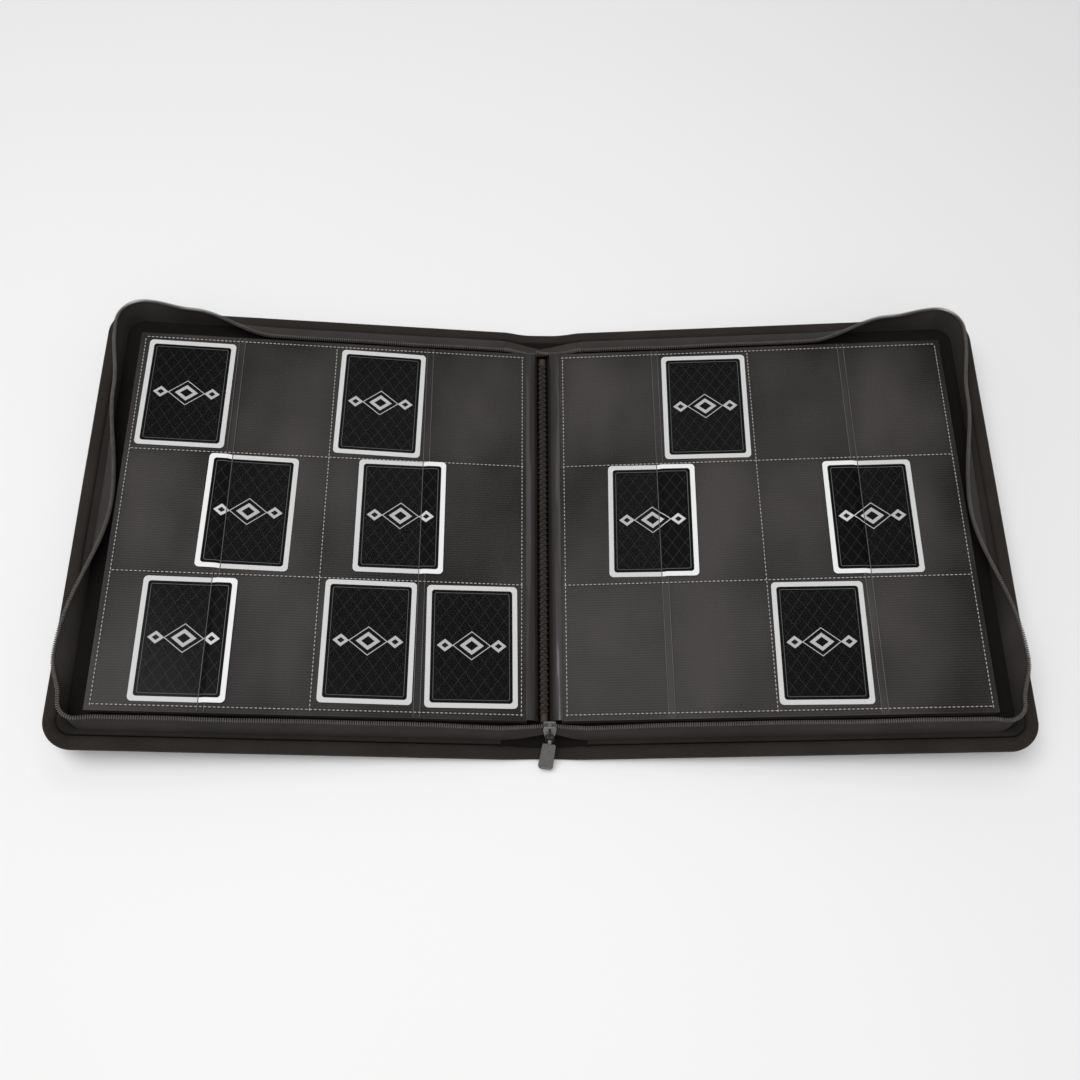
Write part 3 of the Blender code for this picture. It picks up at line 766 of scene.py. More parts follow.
def tape_edge(i, share):
    """(along, y, height, lean) on the tape at a station, from its root at 0 to its top at 1."""
    x, y, inward_x, inward_y = tape_rim[i]
    lean = math.radians(between(TAPE_LEAN, tape_lengths[i] / tape_lengths[-1]))
    sway = lean * (0.55 + 0.45 * share) + 0.05 * wander(x, y, 5.0, scale=18.0)
    out = TAPE_HEIGHT * share * math.sin(sway)
    up = TAPE_HEIGHT * share * math.cos(sway)
    return x + inward_x * out, y + inward_y * out, COVER_FACE + 0.5 * MM + up, sway


def make_tape(side):
    name = SIDES[side]

    def place(u, v):
        x, y, height, _ = tape_edge(round(u * COLUMNS), v)
        return cover_point(side, x, y, height)

    piece = sheet_of(name + "_tape_cloth", COLUMNS, 10, place, (tape_lengths[-1], TAPE_HEIGHT), 0.7 * MM)
    place_piece(piece, tape_cloth, name + "_cover", "zip_tape", name + "_zipper_tape")
    return piece


def cover_up(side):
    return cover_point(side, 0, 0, 1) - cover_point(side, 0, 0, 0)


def squash_shut(piece, side):
    anchor = cover_point(side, reach / 2, 0, COVER_FACE)
    cover_up(side)
    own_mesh(piece)


for side in SIDES:
    squash_shut(make_tape(side), side)
print("tape", round(tape_lengths[-1], 3), "m a side")

# %% [markdown]
# ## The coil
#
# The zip's teeth are one nylon coil on each tape. A turn of it is a small rounded block across the edge
# of the tape. It is modelled once, as a cube with bevelled edges, and copied every millimetre and a half
# along the tape's free edge.

# %% The coil
TOOTH_PITCH = 1.5 * MM


def tooth_shape():
    bpy.ops.mesh.primitive_cube_add(size=1.0)
    tooth = bpy.context.active_object
    tooth.data.transform(Matrix.Diagonal((0.85 * MM, 2.7 * MM, 1.9 * MM, 1.0)))
    edit(tooth, (bpy.ops.mesh.bevel, {"offset": 0.3 * MM, "segments": 1}))
    return tooth


def along_line(points, pitch):
    """(place, way) every pitch along a line of points."""
    spots, carried = [], 0.0
    for start, end in zip(points, points[1:]):
        step = end - start
        while carried <= step.length:
            spots.append((start + step.normalized() * carried, step.normalized()))
            carried += pitch
        carried -= step.length
    return spots


def turned(place, way, up):
    """A placement whose X runs along the way, with its Z as near to `up` as it can be."""
    across = up.cross(way).normalized()
    top = way.cross(across)
    axes = Matrix((way, across, top)).transposed()
    return Matrix.Translation(place) @ axes.to_4x4()


def coil_line(side):
    points, ups = [], []
    for i in range(COLUMNS + 1):
        x, y, height, sway = tape_edge(i, 1.045)
        low = tape_edge(i, 0.9)
        points.append(cover_point(side, x, y, height))
        ups.append((points[-1] - cover_point(side, *low[:3])).normalized())
    return points, ups


def teeth_on(name, points, ups):
    places = []
    spots = along_line(points, TOOTH_PITCH)
    for place, way in spots:
        near = min(range(len(points)), key=lambda i: (points[i] - place).length_squared)
        places.append(turned(place, way, ups[near]))
    return many(name, tooth_shape(), places)


for side in SIDES:
    name = SIDES[side]
    points, ups = coil_line(side)
    piece = teeth_on(name + "_coil_teeth", points, ups)
    place_piece(piece, coil_nylon, name + "_cover", "zip_coil", name + "_zipper_coil")
    squash_shut(piece, side)
    print(piece.name, len(piece.data.polygons), "faces")

# %% [markdown]
# ## The spine and what crosses it
#
# The spine's cloth is one with the covers, so strips of it bend over each hinge. The rolled edge thins
# out as it crosses the spine. At the tail both tapes rise to the slider, which leaves a dark three-sided
# opening below it, and at the head they run into each other.

# %% The spine
spine_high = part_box("spine_skin")[1]
spine_half = spine_high.x
spine_depth = spine_high.y
BEND_START, BEND_END = cover_start + hinge_x, spine_half - 1 * MM


def bends(side):
    """The bodies and the stretch over which cloth bends from a cover to the spine."""
    return SIDES[side] + "_cover", "spine", (side * BEND_START, 0, 0), (side * BEND_END, 0, 0)


def bottom_height(x):
    """The height of the outer cloth over the table, flat under the spine and rising with the covers."""
    return max(0.0, (abs(x) - hinge_x)) * math.tan(tilt)


def make_spine_cloth():
    def outer(u, v):
        x, y = spine_half * (2 * u - 1), spine_depth * (2 * v - 1) * 0.985
        return Vector((x, y, 0.45 * MM))

    def inner(u, v):
        x, y = (spine_half + 0.5 * MM) * (2 * u - 1), spine_depth * (2 * v - 1) * 0.975
        return Vector((x, y, 3.9 * MM + 0.15 * MM * wander(x, y, 9.0, scale=40.0)))

    piece = sheet_of("spine_outer_cloth", 16, 70, outer, (2 * spine_half, 2 * spine_depth), 0.8 * MM)
    place_piece(piece, cover_cloth, "spine", "cover_fabric", "spine_skin")
    piece = sheet_of("spine_lining_cloth", 16, 70, inner, (2 * spine_half, 2 * spine_depth), 0.6 * MM)
    place_piece(piece, lining_cloth, "spine", "lining_fabric", "spine_lining")


def make_hinge_strips(side):
    name = SIDES[side]
    outer_x, inner_x = BEND_START + 1 * MM, spine_half - 0.5 * MM

    def outer(u, v):
        x, y = inner_x + (outer_x - inner_x) * u, spine_depth * (2 * v - 1) * 0.975
        return Vector((side * x, y, bottom_height(x) + 0.55 * MM))

    def inner(u, v):
        x, y = inner_x + (outer_x - inner_x) * u, spine_depth * (2 * v - 1) * 0.965
        rise = ease(u) * 3.6 * MM
        return Vector((side * x, y, bottom_height(x) + 4.0 * MM + rise))

    piece = sheet_of(name + "_hinge_outer", 14, 60, outer, (outer_x - inner_x, 2 * spine_depth), 0.8 * MM)
    place_piece(piece, cover_cloth, bends(side), "cover_fabric", name + "_hinge_cloth")
    piece = sheet_of(name + "_hinge_inner", 14, 60, inner, (outer_x - inner_x, 2 * spine_depth), 0.6 * MM)
    place_piece(piece, lining_cloth, bends(side), "lining_fabric")


def make_edge_across(side, end):
    """The rolled edge from a cover to the middle of the spine, at the tail (-1) or the head (+1)."""
    name = f"{SIDES[side]}_edge_over_spine_{'tail' if end < 0 else 'head'}"
    start_x = BEND_START + 0.8 * MM

    def place(u, v):
        x = start_x * (1 - u)
        size = 1.0 - 0.38 * ease((start_x - x) / (start_x - 8 * MM))
        inset, height = bead_offset(v, 1.0)
        y = end * (half_depth - BEAD_WIDTH / 2 + (BEAD_WIDTH / 2 - inset) * (0.6 + 0.4 * size))
        return Vector((side * x, y, bottom_height(x) + height * size + 0.05 * MM))

    piece = closed_sweep(name, 26, 20, place, (start_x, 28 * MM))
    place_piece(piece, edge_cloth, bends(side), "edge_binding")


make_spine_cloth()
for side in SIDES:
    make_hinge_strips(side)
    make_edge_across(side, -1)
    make_edge_across(side, 1)
print("spine cloth", round(2 * spine_half, 4), "m wide")

# %% [markdown]
# ### The ends of the tape
#
# Each end starts on the cover just as the tape leaves off, and turns to where it meets the slider or the
# other tape. The start is worked out from the tape's own formula, so the two join with no step.

# %% The ends of the tape
slider_low, slider_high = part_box("slider_body")
slider_x = (slider_low.x + slider_high.x) / 2
slider_y = (slider_low.y + slider_high.y) / 2 + 1.2 * MM
slider_top = slider_high.z


def end_of_tape(side, end):
    """(root, top) of the tape at the cover's tail (-1) or head (+1) end."""
    i = 0 if end < 0 else COLUMNS
    root, top = tape_edge(i, 0.0), tape_edge(i, 1.0)
    return cover_point(side, *root[:3]), cover_point(side, *top[:3])


def meeting(side, end):
    """(root, top) of the tape where it meets the slider, or the other tape at the head."""
    if end < 0:
        x = slider_x + side * 4.4 * MM
        root = Vector((x, slider_y - 2.5 * MM, 15.5 * MM))
        return root, Vector((x, slider_y + 1.5 * MM, slider_top - 3.0 * MM))
    head = half_depth - TAPE_INSET_HEAD
    lift = 0.6 * MM * (1 + side)
    root = Vector((-side * 2.0 * MM, head - 6 * MM, 5.2 * MM + lift))
    return root, Vector((-side * 5 * MM, head - 14 * MM, 14 * MM + lift))


def tape_end_point(side, end, along, share):
    root, top = end_of_tape(side, end)
    low, high = meeting(side, end)
    bottom, crest = root.lerp(low, along), top.lerp(high, along)
    sag = 1.2 * MM * math.sin(math.pi * along)
    bottom.z = root.z + (low.z - root.z) * ease(along * 1.5 - 0.5 if end < 0 else along)
    crest.z = top.z + (high.z - top.z) * ease(along) - sag
    if end > 0:
        crest.z -= 2.5 * MM * math.sin(math.pi * along)
    return bottom.lerp(crest, share)


def make_tape_end(side, end):
    label = "tail" if end < 0 else "head"
    name = f"{SIDES[side]}_{label}"
    length = (end_of_tape(side, end)[1] - meeting(side, end)[1]).length

    def place(u, v):
        return tape_end_point(side, end, u, v)

    piece = sheet_of(name + "_tape_cloth", 20, 10, place, (length, TAPE_HEIGHT), 0.7 * MM)
    place_piece(piece, tape_cloth, bends(side), "zip_tape", f"{SIDES[side]}_tape_{label}")
    steps = 20
    points = [tape_end_point(side, end, i / steps, 1.045) for i in range(steps + 1)]
    ups = [(p - tape_end_point(side, end, i / steps, 0.8)).normalized() for i, p in enumerate(points)]
    place_piece(teeth_on(name + "_coil_teeth", points, ups), coil_nylon, bends(side), "zip_coil")


for side in SIDES:
    for end in (-1, 1):
        make_tape_end(side, end)
print("tape ends made")

# %% [markdown]
# ## The slider and its pull
#
# The slider has two shield-shaped wings with a post between them, and a bridge that the link hangs from.
# Each wing is a cube that is narrowed at its foot and bevelled. The tab is a flat plate with a rounded
# end, a sunk panel and an eye.


# %% The slider and its pull
def cube(name, middle, size):
    bpy.ops.mesh.primitive_cube_add(size=1.0)
    piece = bpy.context.active_object
    piece.name = name
    piece.data.transform(Matrix.Translation(middle) @ Matrix.Diagonal((*size, 1.0)))
    return piece


def join(name, pieces):
    only(pieces[0])
    for piece in pieces:
        piece.select_set(True)
    bpy.ops.object.join()
    joined = bpy.context.active_object
    joined.name = name
    return joined


def wire(name, points, radius, closed=False):
    """A round wire as a mesh, from a curve with a bevel."""
    curve = bpy.data.curves.new(name, "CURVE")
    curve.dimensions = "3D"
    curve.bevel_depth = radius
    curve.bevel_resolution = 3
    curve.use_fill_caps = not closed
    spline = curve.splines.new("POLY")
    spline.points.add(len(points) - 1)
    for point, place in zip(spline.points, points):
        point.co = (*place, 1.0)
    spline.use_cyclic_u = closed
    piece = bpy.data.objects.new(name, curve)
    bpy.context.scene.collection.objects.link(piece)
    only(piece)
    bpy.ops.object.convert(target="MESH")
    piece = bpy.context.active_object
    edit(piece, (bpy.ops.mesh.remove_doubles, {"threshold": 0.005 * MM}))
    outward(piece)
    smooth(piece, 60)
    return piece


TIP_BACK = math.radians(-32)
PULL_FORWARD = 4.4 * MM
PLATE, PLATE_GAP = 1.3 * MM, 1.6 * MM
PLATE_WIDTH, PLATE_LENGTH = 9.4 * MM, 10.4 * MM
ARCH_DEPTH, ARCH_HALF = 3.6 * MM, 3.4 * MM
pull_at = Vector(joint["pull_swing"]["pos_m"])
tip = Matrix.Rotation(TIP_BACK, 4, "X")
slider_frame = Matrix.Translation(pull_at) @ tip @ Matrix.Translation((0, PULL_FORWARD, 0))


def soften(piece, width, segments):
    """Round the sharp edges of a piece."""
    sharp = math.radians(50)
    apply_modifier(piece, "BEVEL", width=width, segments=segments, limit_method="ANGLE", angle_limit=sharp)


def slider_plate(name, y):
    """A plate that is wide at the mouth and narrow at the foot, with its corners rounded."""
    piece = cube(name, (0, y, 0), (PLATE_WIDTH, PLATE, PLATE_LENGTH))
    edit(piece, (bpy.ops.mesh.subdivide, {"number_cuts": 5}))
    for vertex in piece.data.vertices:
        share = vertex.co.z / (PLATE_LENGTH / 2)
        vertex.co.x *= 0.86 + 0.16 * math.sin(share * 1.5) - 0.20 * abs(share) ** 4
        crown = 1 - (vertex.co.x / (PLATE_WIDTH / 2)) ** 2
        vertex.co.y += math.copysign(0.25 * MM, y) * crown
    soften(piece, 0.35 * MM, 3)
    return piece


front = -PLATE_GAP - PLATE / 2
plates = [slider_plate("front_plate", front), slider_plate("back_plate", -front)]
post = cube("post", (0, 0, 2.5 * MM), (2.6 * MM, 2 * PLATE_GAP + 0.6 * MM, 4.4 * MM))
apply_modifier(post, "BEVEL", width=0.4 * MM, segments=2)
arch = []
arch_foot = front - PLATE / 2 + 0.4 * MM
for i in range(13):
    angle = math.pi * i / 12
    out = ARCH_DEPTH * math.sin(angle) ** 0.6
    arch.append((0, arch_foot - out, ARCH_HALF * math.cos(angle)))
bridge = wire("slider_bridge", arch, 0.75 * MM)
slider = join("zip_slider", plates + [post])
for piece, finish in ((slider, slider_metal), (bridge, black_metal)):
    piece.data.transform(slider_frame)
    smooth(piece, 35)
    place_piece(piece, finish, "slider", "slider_metal", "slider_body")

# %% [markdown]
# ### The link and the tab
#
# Both are drawn lying towards the reader from the bridge, and then turned down together. The tab hangs
# loose on the link, so it also slants a little in its own plane.

# %% The link and the tab
LINK, LINK_HALF = 5.3 * MM, 2.6 * MM
droop = Matrix.Translation(pull_at) @ Matrix.Rotation(math.radians(42), 4, "X")
link_line = []
for i in range(32):
    angle = math.tau * i / 32
    c, s = math.cos(angle), math.sin(angle)
    flat_x = LINK_HALF * math.copysign(abs(c) ** 0.6, c)
    flat_y = -LINK / 2 + LINK / 2 * math.copysign(abs(s) ** 0.6, s)
    link_line.append(droop @ Vector((flat_x, flat_y, 0.0)))
link = wire("pull_ring", link_line, 0.55 * MM, closed=True)
place_piece(link, black_metal, "pull", "slider_metal", "pull_link")

TAB_START, TAB_END, TAB_WIDTH = 1.8 * MM, 20.6 * MM, 10.2 * MM
tab_length = TAB_END - TAB_START
tab = cube("pull_plate", (0, -(TAB_START + TAB_END) / 2, 0), (TAB_WIDTH, tab_length, 1.5 * MM))
for vertex in tab.data.vertices:
    if vertex.co.y > -TAB_END + tab_length / 2:
        vertex.co.x *= 0.88
shape = bmesh.new()
shape.from_mesh(tab.data)
upright = [e for e in shape.edges if abs(e.verts[0].co.z - e.verts[1].co.z) > 1 * MM]
far_edges = [e for e in upright if e.verts[0].co.y < -TAB_START - tab_length / 2]
near_edges = [e for e in upright if e not in far_edges]
bmesh.ops.bevel(shape, geom=far_edges, offset=2.6 * MM, segments=7, profile=0.5, affect="EDGES")
bmesh.ops.bevel(shape, geom=near_edges, offset=0.9 * MM, segments=4, profile=0.5, affect="EDGES")
flats = [f for f in shape.faces if abs(f.normal.z) > 0.9]
bmesh.ops.inset_individual(shape, faces=flats, thickness=0.9 * MM, depth=0.0)
bmesh.ops.inset_individual(shape, faces=flats, thickness=0.25 * MM, depth=-0.2 * MM)
shape.to_mesh(tab.data)
shape.free()
soften(tab, 0.2 * MM, 2)
neck = cube("neck", (0, -1.6 * MM, 0), (2.6 * MM, 2.2 * MM, 1.2 * MM))
apply_modifier(neck, "BEVEL", width=0.3 * MM, segments=2)
bpy.ops.mesh.primitive_torus_add(
    major_radius=1.3 * MM,
    minor_radius=0.4 * MM,
    major_segments=24,
    minor_segments=10,
    rotation=(0, math.pi / 2, 0),
)
eye = bpy.context.active_object
bpy.ops.object.transform_apply(location=False, rotation=True, scale=False)
eye.data.transform(Matrix.Diagonal((3.0, 1.0, 1.0, 1.0)))
tab = join("pull_plate", [tab, neck, eye])
slant = Matrix.Translation((0, -LINK, 0)) @ Matrix.Rotation(math.radians(-8), 4, "Z")
tab.data.transform(droop @ slant)
outward(tab)
smooth(tab, 35)
place_piece(tab, tab_metal, "pull", "pull_metal", "pull_tab")
print("slider and pull made")

# %% [markdown]
# ## The pages
#
# The lower pages only show their edges, as a stack of thin sheets that don't quite line up. Each solid of
# the frame stands for two of them. The top page has its black sheet and four strips of film, one for
# each column of pockets, which leave a gap where the cards go in.


# %% The lower pages
def page_box(name, side, low, high, extra=0.0, detail=1):
    """A thin sheet between two corners (along, y, height) of the page's own frame."""
    size = [b - a for a, b in zip(low, high)]
    piece = cube(name, (0.5, 0.5, 0.5), (1, 1, 1))
    edit(piece, (bpy.ops.mesh.subdivide, {"number_cuts": detail}))
    for vertex in piece.data.vertices:
        at = [a + s * c for a, s, c in zip(low, size, vertex.co)]
        vertex.co = page_point(side, at[0], at[1], at[2])
    outward(piece)
    return piece


def make_leaves(side):
    for i in range(4):
        node_low = 9.5 * MM + i * 1.9 * MM
        sheets = []
        for j in range(2):
            slip = 0.5 * MM * wander(i, j, side, scale=3.7)
            base = node_low + j * 0.8 * MM
            low = (PAGE_INNER, -PAGE_HALF + 0.3 * MM + slip, base)
            high = (PAGE_OUTER - 0.4 * MM + slip, PAGE_HALF - 0.3 * MM + slip, base + 0.62 * MM)
            sheets.append(page_box("sheet", side, low, high))
        piece = join(f"{SIDES[side]}_pages_{i + 1}", sheets)
        name = SIDES[side]
        place_piece(piece, leaf_edge, name + "_page_block", "page_sheet", f"{name}_leaf_{i + 1}")


for side in SIDES:
    make_leaves(side)
print("lower pages made")

# %% The top page and its film
FILM_THICKNESS = 0.22 * MM
seam = GUTTER_SEAM + 2 * COLUMN
FILM_COLUMNS = [
    (PAGE_INNER + 0.4 * MM, GUTTER_SEAM + COLUMN - POCKET_GAP / 2),
    (GUTTER_SEAM + COLUMN + POCKET_GAP / 2, seam - 0.1 * MM),
    (seam + 0.1 * MM, GUTTER_SEAM + 3 * COLUMN - POCKET_GAP / 2),
    (GUTTER_SEAM + 3 * COLUMN + POCKET_GAP / 2, PAGE_OUTER - 0.3 * MM),
]


def make_top_page(side):
    name = SIDES[side]
    low = (PAGE_INNER, -PAGE_HALF, CORE_TOP - 0.5 * MM)
    core = page_box(name + "_page_sheet", side, low, (PAGE_OUTER, PAGE_HALF, CORE_TOP))
    place_piece(core, page_black, name + "_top_page", "page_sheet", name + "_page_core")
    for i, (start, end) in enumerate(FILM_COLUMNS):

        def place(u, v):
            x, y = start + (end - start) * u, -PAGE_HALF + 0.3 * MM + (2 * PAGE_HALF - 0.6 * MM) * v
            rows = abs(math.sin(math.pi * (y / ROW + 0.5)))
            ends = min(u, 1 - u) * 8
            waves = 1 + wander(x, y, side * 4.0, scale=17.0)
            lift = 0.16 * MM * min(1.0, rows * 2.5) * min(1.0, ends) * waves
            return page_point(side, x, y, FILM_HEIGHT + lift)

        flat = (end - start, 2 * PAGE_HALF)
        film = sheet_of(f"{name}_pocket_film_{i + 1}", 20, 84, place, flat, FILM_THICKNESS)
        place_piece(film, pocket_film.material, name + "_top_page", "pocket_film", f"{name}_film_{i + 1}")
    # Two thin lip beads line each pocket opening; their light colour is a painted glint on the film's edges.
    for i, middle in enumerate((GUTTER_SEAM + COLUMN, GUTTER_SEAM + 3 * COLUMN)):
        for label, x in (("inner", middle - POCKET_GAP / 2), ("outer", middle + POCKET_GAP / 2)):
            lip_line = []
            for j in range(61):
                lip_line.append(page_point(side, x, PAGE_HALF * (2 * j / 60 - 1) * 0.995, FILM_HEIGHT))
            lip = wire(f"{name}_pocket_lip_{i + 1}_{label}", lip_line, 0.3 * MM)
            place_piece(lip, film_lip.material, name + "_top_page", "pocket_film")


for side in SIDES:
    make_top_page(side)
print("top pages with", len(FILM_COLUMNS), "strips of film each")

# %% [markdown]
# ## Seams
#
# Light thread holds the film to the sheet: round the border, along the rows, down the middle and beside
# the gutter. A stitch is a short rounded dash with its ends pressed into the film. It is one small
# cylinder, copied along each seam.

# %% Seams
STITCH_PITCH, STITCH_LENGTH, STITCH_RADIUS = 3.0 * MM, 2.1 * MM, 0.4 * MM


def stitch_shape():
    bpy.ops.mesh.primitive_uv_sphere_add(segments=6, ring_count=4, radius=1.0, rotation=(0, math.pi / 2, 0))
    stitch = bpy.context.active_object
    bpy.ops.object.transform_apply(location=False, rotation=True, scale=False)
    for vertex in stitch.data.vertices:
        end = abs(vertex.co.x)
        vertex.co.x = math.copysign(end**0.6, vertex.co.x)
    stitch.data.transform(Matrix.Diagonal((STITCH_LENGTH / 2, STITCH_RADIUS, STITCH_RADIUS, 1.0)))
    return stitch


def make_seams(side):
    outer_seam, edge = GUTTER_SEAM + 4 * COLUMN, 1.5 * ROW
    runs = [((GUTTER_SEAM, y), (outer_seam, y)) for y in (-edge, -ROW / 2, ROW / 2, edge)]
    runs += [((x, -edge), (x, edge)) for x in (GUTTER_SEAM, seam, outer_seam)]
    up = page_point(side, 0, 0, 1) - page_point(side, 0, 0, 0)
    spots = []
    for (x0, y0), (x1, y1) in runs:
        height = FILM_HEIGHT + FILM_THICKNESS / 2
        line = [page_point(side, x0, y0, height), page_point(side, x1, y1, height)]
        for i, (place, way) in enumerate(along_line(line, STITCH_PITCH)):
            skew = 0.06 * wander(place.x * 40, place.y * 40, i * 0.7)
            spots.append(turned(place, way, up) @ Matrix.Rotation(skew, 4, "Z"))
    piece = many(SIDES[side] + "_page_seams", stitch_shape(), spots)
    place_piece(piece, thread.material, SIDES[side] + "_top_page", "thread")
    return len(spots)


print("stitches", [make_seams(side) for side in SIDES])

# %% [markdown]
# ## The cards
#
# A card that is all the way in lies flat under the film. A card that stands half out comes up through the
# gap between two strips and lies on the next one, so it has a gentle bend there. The grid's columns are
# closer together at the round corners.

# %% The cards
# (distance from the gutter, height on the page, turn in degrees, way out: 0 in, 1 outwards, -1 inwards)
CARDS = {
    LEFT: [
        (264.9, 95.6, 0.5, 0),
        (122.6, 95.7, 1.1, 0),
        (211.2, 1.2, 0.9, 1),
        (103.6, 2.9, 0.0, -1),
        (244.8, -95.0, 0.1, -1),
        (121.6, -92.8, 0.3, 0),
        (50.3, -93.9, -0.6, 0),
    ],
    RIGHT: [(123.1, 95.4, -0.6, 0), (79.5, 2.0, -0.8, 1), (236.5, 0.0, -0.2, -1), (191.5, -94.2, -0.7, 0)],
}
CARD_CORNER = 3.0
CARD_COLUMNS, CARD_CORNER_COLUMNS = 44, 6


def card_column(u):
    """The place of a column of points across the card, in millimetres."""
    i = round(u * CARD_COLUMNS)
    if i <= CARD_CORNER_COLUMNS:
        return CARD_CORNER * (1 - math.cos(math.pi / 2 * i / CARD_CORNER_COLUMNS))
    if i >= CARD_COLUMNS - CARD_CORNER_COLUMNS:
        turn = math.pi / 2 * (CARD_COLUMNS - i) / CARD_CORNER_COLUMNS
        return CARD_WIDTH - CARD_CORNER * (1 - math.cos(turn))
    share = (i - CARD_CORNER_COLUMNS) / (CARD_COLUMNS - 2 * CARD_CORNER_COLUMNS)
    return CARD_CORNER + (CARD_WIDTH - 2 * CARD_CORNER) * share


def card_rise(along, out):
    """How far from under the film to over it a card is, from 0 to 1."""
    if out == 0:
        return 0.0
    for i in (1, 3):
        middle = GUTTER_SEAM + i * COLUMN
        if abs(along - middle) < 40 * MM:
            share = ease((along - middle) / (POCKET_GAP - 0.6 * MM) + 0.5)
            return share if out > 0 else 1 - share
    return 0.0


def make_card(side, number, distance, height, turn, out):
    angle = math.radians(turn) * side

    def card_place(u, v):
        x = card_column(u)
        edge = min(x, CARD_WIDTH - x)
        inset = CARD_CORNER - math.sqrt(max(0.0, CARD_CORNER**2 - max(0.0, CARD_CORNER - edge) ** 2))
        return x, inset + (CARD_HEIGHT - 2 * inset) * v

    def place(u, v):
        x, y = card_place(u, v)
        x, y = (x - CARD_WIDTH / 2) * MM, (y - CARD_HEIGHT / 2) * MM
        spun_x, spun_y = x * math.cos(angle) - y * math.sin(angle), x * math.sin(angle) + y * math.cos(angle)
        along = distance * MM + side * spun_x
        rise = card_rise(along, out)
        level = CARD_HEIGHT_IN + 0.15 * MM + (CARD_HEIGHT_OVER - CARD_HEIGHT_IN) * rise
        return page_point(side, along, height * MM + spun_y, level)

    piece = moved_grid(f"{SIDES[side]}_printed_card_{number}", CARD_COLUMNS, 24, place, (1, 1))
    shares = [(loop.index, piece.data.uv_layers.active.data[loop.index].uv * MM) for loop in piece.data.loops]
    for index, (u, v) in shares:
        piece.data.uv_layers.active.data[index].uv = card_place(u, v)
    apply_modifier(piece, "SOLIDIFY", thickness=0.3 * MM, offset=0.0)
    outward(piece)
    smooth(piece)
    name = SIDES[side]
    place_piece(piece, card_print.material, name + "_top_page", "card_face", f"{name}_card_{number}")


for side, cards in CARDS.items():
    for number, card in enumerate(cards, 1):
        make_card(side, number, *card)
print("cards", sum(len(cards) for cards in CARDS.values()))

# %% [markdown]
# ## Gutter and binding
#
# Beside the gutter a smooth strip runs from the top page down into the binding. The page turns on the block
# and the block turns on the spine, and the strip is made as two pieces, an upper and a lower one. Down the
# middle, a cord is laced in zigzags over the folded edges of the pages. The cord is coloured near black as
# painted shade, for the dark slits in the fold that it runs through.

# %% Gutter and binding
GUTTER_LINE = [
    (12.6, 18.75),
    (10.5, 18.6),
    (8.2, 18.1),
    (6.4, 16.9),
    (5.1, 15.0),
    (4.3, 12.6),
    (3.9, 9.8),
    (3.7, 7.0),
]
SPLIT = 3
STRIP_HALF = PAGE_HALF - 0.5 * MM


def curve_through(points, share):
    """A point on a smooth curve through a list of (x, z)."""
    place = share * (len(points) - 1)
    i = min(int(place), len(points) - 2)
    t = place - i
    before, start = points[max(i - 1, 0)], points[i]
    end, after = points[i + 1], points[min(i + 2, len(points) - 1)]
    return tuple(
        0.5 * (2 * b + (c - a) * t + (2 * a - 5 * b + 4 * c - d) * t * t + (3 * b - a - 3 * c + d) * t**3)
        for a, b, c, d in zip(before, start, end, after)
    )


def make_gutter(side):
    name = SIDES[side]
    split_x = side * GUTTER_LINE[SPLIT][0] * MM
    total = len(GUTTER_LINE) - 1
    block = name + "_page_block"
    on_page = (block, name + "_top_page", (split_x, 0, 0), (side * 11.6 * MM, 0, 0))
    on_spine = ("spine", block, (0, 0, 8 * MM), (0, 0, 16.5 * MM))
    for label, first, last, bodies, nodes in (
        ("upper", 0, SPLIT, on_page, ()),
        ("lower", SPLIT, total, on_spine, (name + "_gutter_strip",)),
    ):

        def place(u, v):
            x, z = curve_through(GUTTER_LINE, (first + (last - first) * u) / total)
            y = STRIP_HALF * (2 * v - 1)
            sag = 0.25 * wander(x * 0.3, y * 30, side * 2.0)
            return Vector((side * (x + sag * 0.3) * MM, y + PAGE_SHIFT, (z + sag) * MM))

        piece = sheet_of(f"{name}_gutter_{label}", 14, 90, place, (12 * MM, 2 * STRIP_HALF), 0.4 * MM)
        place_piece(piece, gutter_film, bodies, "page_sheet", *nodes)


gutter_sheet = Finish("gutter_sheet", 0.34, Coat_Weight=0.3)
gutter_cloud = gutter_sheet.cloud(25.0, 3.0)
gutter_sheet.set("Base Color", gutter_sheet.mix(gutter_cloud, (0.016, 0.0135, 0.013), (0.030, 0.026, 0.025)))
gutter_sheet.bump(gutter_sheet.cloud(60.0, 2.0, (1.0, 0.3, 1.0)), 0.4 * MM)
gutter_film = gutter_sheet.material
for side in SIDES:
    make_gutter(side)

bundle_low, bundle_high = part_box("page_fold_bundle")


def bundle_place(u, v):
    angle = math.tau * v
    c, s = math.cos(angle), math.sin(angle)
    x = 2.7 * MM * math.copysign(abs(c) ** 0.6, c)
    middle, half = (bundle_low.z + bundle_high.z) / 2, (bundle_high.z - bundle_low.z) / 2
    z = middle + half * math.copysign(abs(s) ** 0.6, s)
    y = bundle_low.y + (bundle_high.y - bundle_low.y) * u
    return Vector((x, y, z))


bundle = closed_sweep("folded_page_edges", 60, 20, bundle_place, (2 * STRIP_HALF, 30 * MM))
place_piece(bundle, leaf_edge, "spine", "page_sheet", "page_fold_bundle")

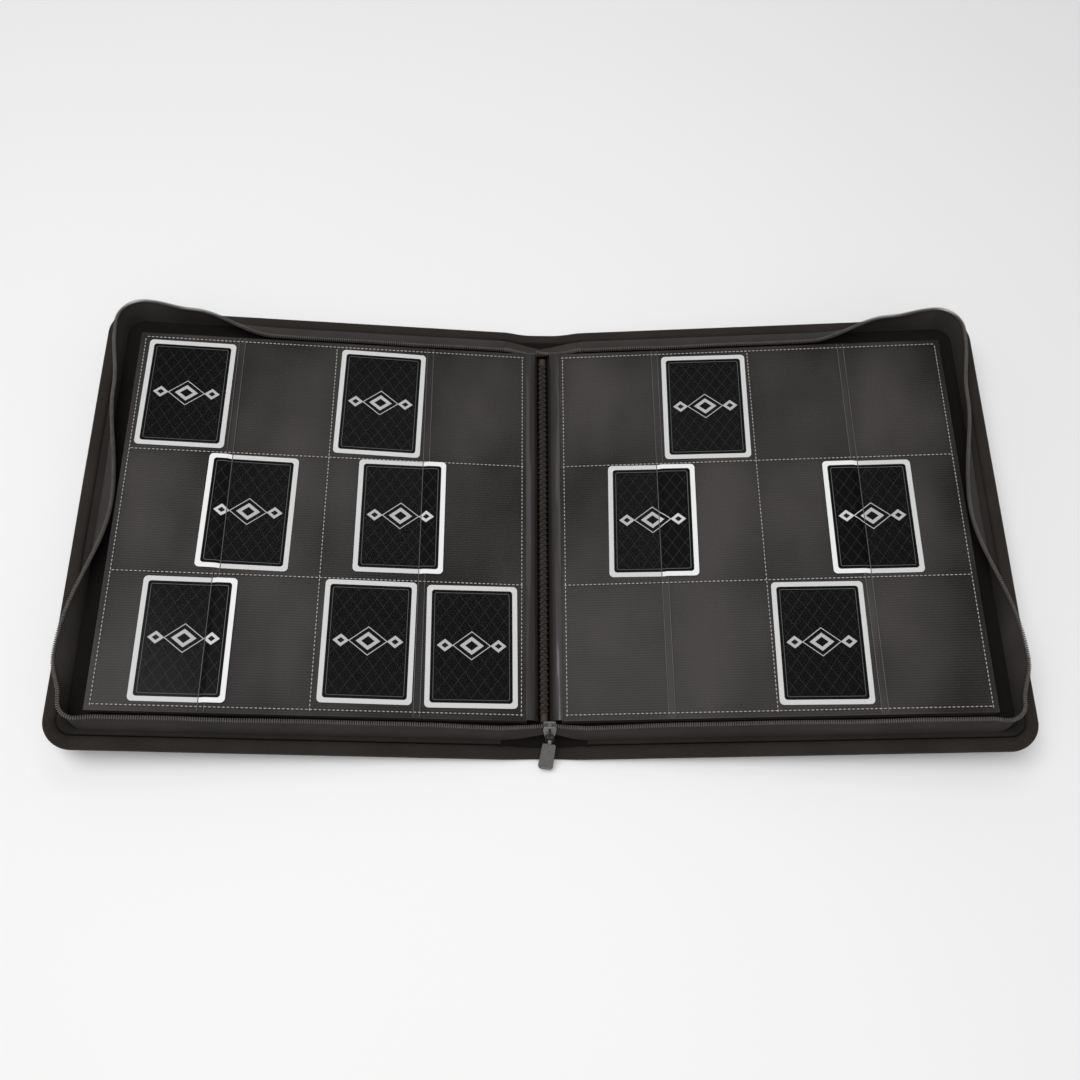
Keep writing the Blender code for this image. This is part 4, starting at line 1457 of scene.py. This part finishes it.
LACE_PITCH, LACE_HALF_WIDTH = 4.3 * MM, 3.0 * MM
lace_count = int(2 * (STRIP_HALF - 4 * MM) / LACE_PITCH)
lace_line = []
for i in range(2 * lace_count + 1):
    lace_y = PAGE_SHIFT + LACE_PITCH / 2 * (i - lace_count)
    lace_x = LACE_HALF_WIDTH * (1 if i % 2 else -1)
    for inset, back, drop in ((0.86, 0.25 * MM, 0.0), (1.0, 0.0, 0.5 * MM)):
        lace_line.append((lace_x * inset, lace_y - back, bundle_high.z + 1.0 * MM - drop))
lacing = wire("binding_lacing", lace_line, 0.62 * MM)
place_piece(lacing, dark_thread.material, "spine", "thread", "binding_stitch")
for piece in (bundle, lacing):
    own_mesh(piece)
print("lacing has", lace_count, "turns")

# %% [markdown]
# ## Floor and light
#
# The room is plain: a pale floor, a large soft light overhead, a small one behind, whose reflection the
# film picks up, and a weak one in front for the cloth.

# %% Floor and light
bpy.ops.mesh.primitive_plane_add(size=8.0, location=(0, 0, -0.2 * MM))
floor = bpy.context.active_object
floor.name = "floor"
floor_paint = Finish("floor_paint", 0.8)
floor_cloud = floor_paint.cloud(1.5, 2.0)
floor_paint.set("Base Color", floor_paint.mix(floor_cloud, (0.86, 0.86, 0.86), (0.90, 0.90, 0.90)))
floor.data.materials.append(floor_paint.material)


def soft_light(name, place, size, power):
    light = bpy.data.objects.new(name, bpy.data.lights.new(name, "AREA"))
    light.data.shape = "RECTANGLE"
    light.data.size, light.data.size_y = size
    light.data.energy = power
    light.location = place
    light.rotation_mode = "QUATERNION"
    light.rotation_quaternion = (-Vector(place)).to_track_quat("-Z", "Y")
    bpy.context.scene.collection.objects.link(light)


soft_light("overhead_soft_light", (-0.3, -0.3, 1.9), (1.8, 0.9), 30)
soft_light("back_soft_light", (0.1, 0.95, 1.8), (0.9, 0.5), 2)
soft_light("front_soft_light", (0.6, -1.7, 1.8), (1.6, 1.2), 1)
world = bpy.data.worlds.new("studio")
bpy.context.scene.world = world
world.use_nodes = True
world.node_tree.nodes["Background"].inputs["Color"].default_value = (1.0, 1.0, 1.0, 1.0)
world.node_tree.nodes["Background"].inputs["Strength"].default_value = 0.32
bpy.context.scene.view_settings.view_transform = "Standard"
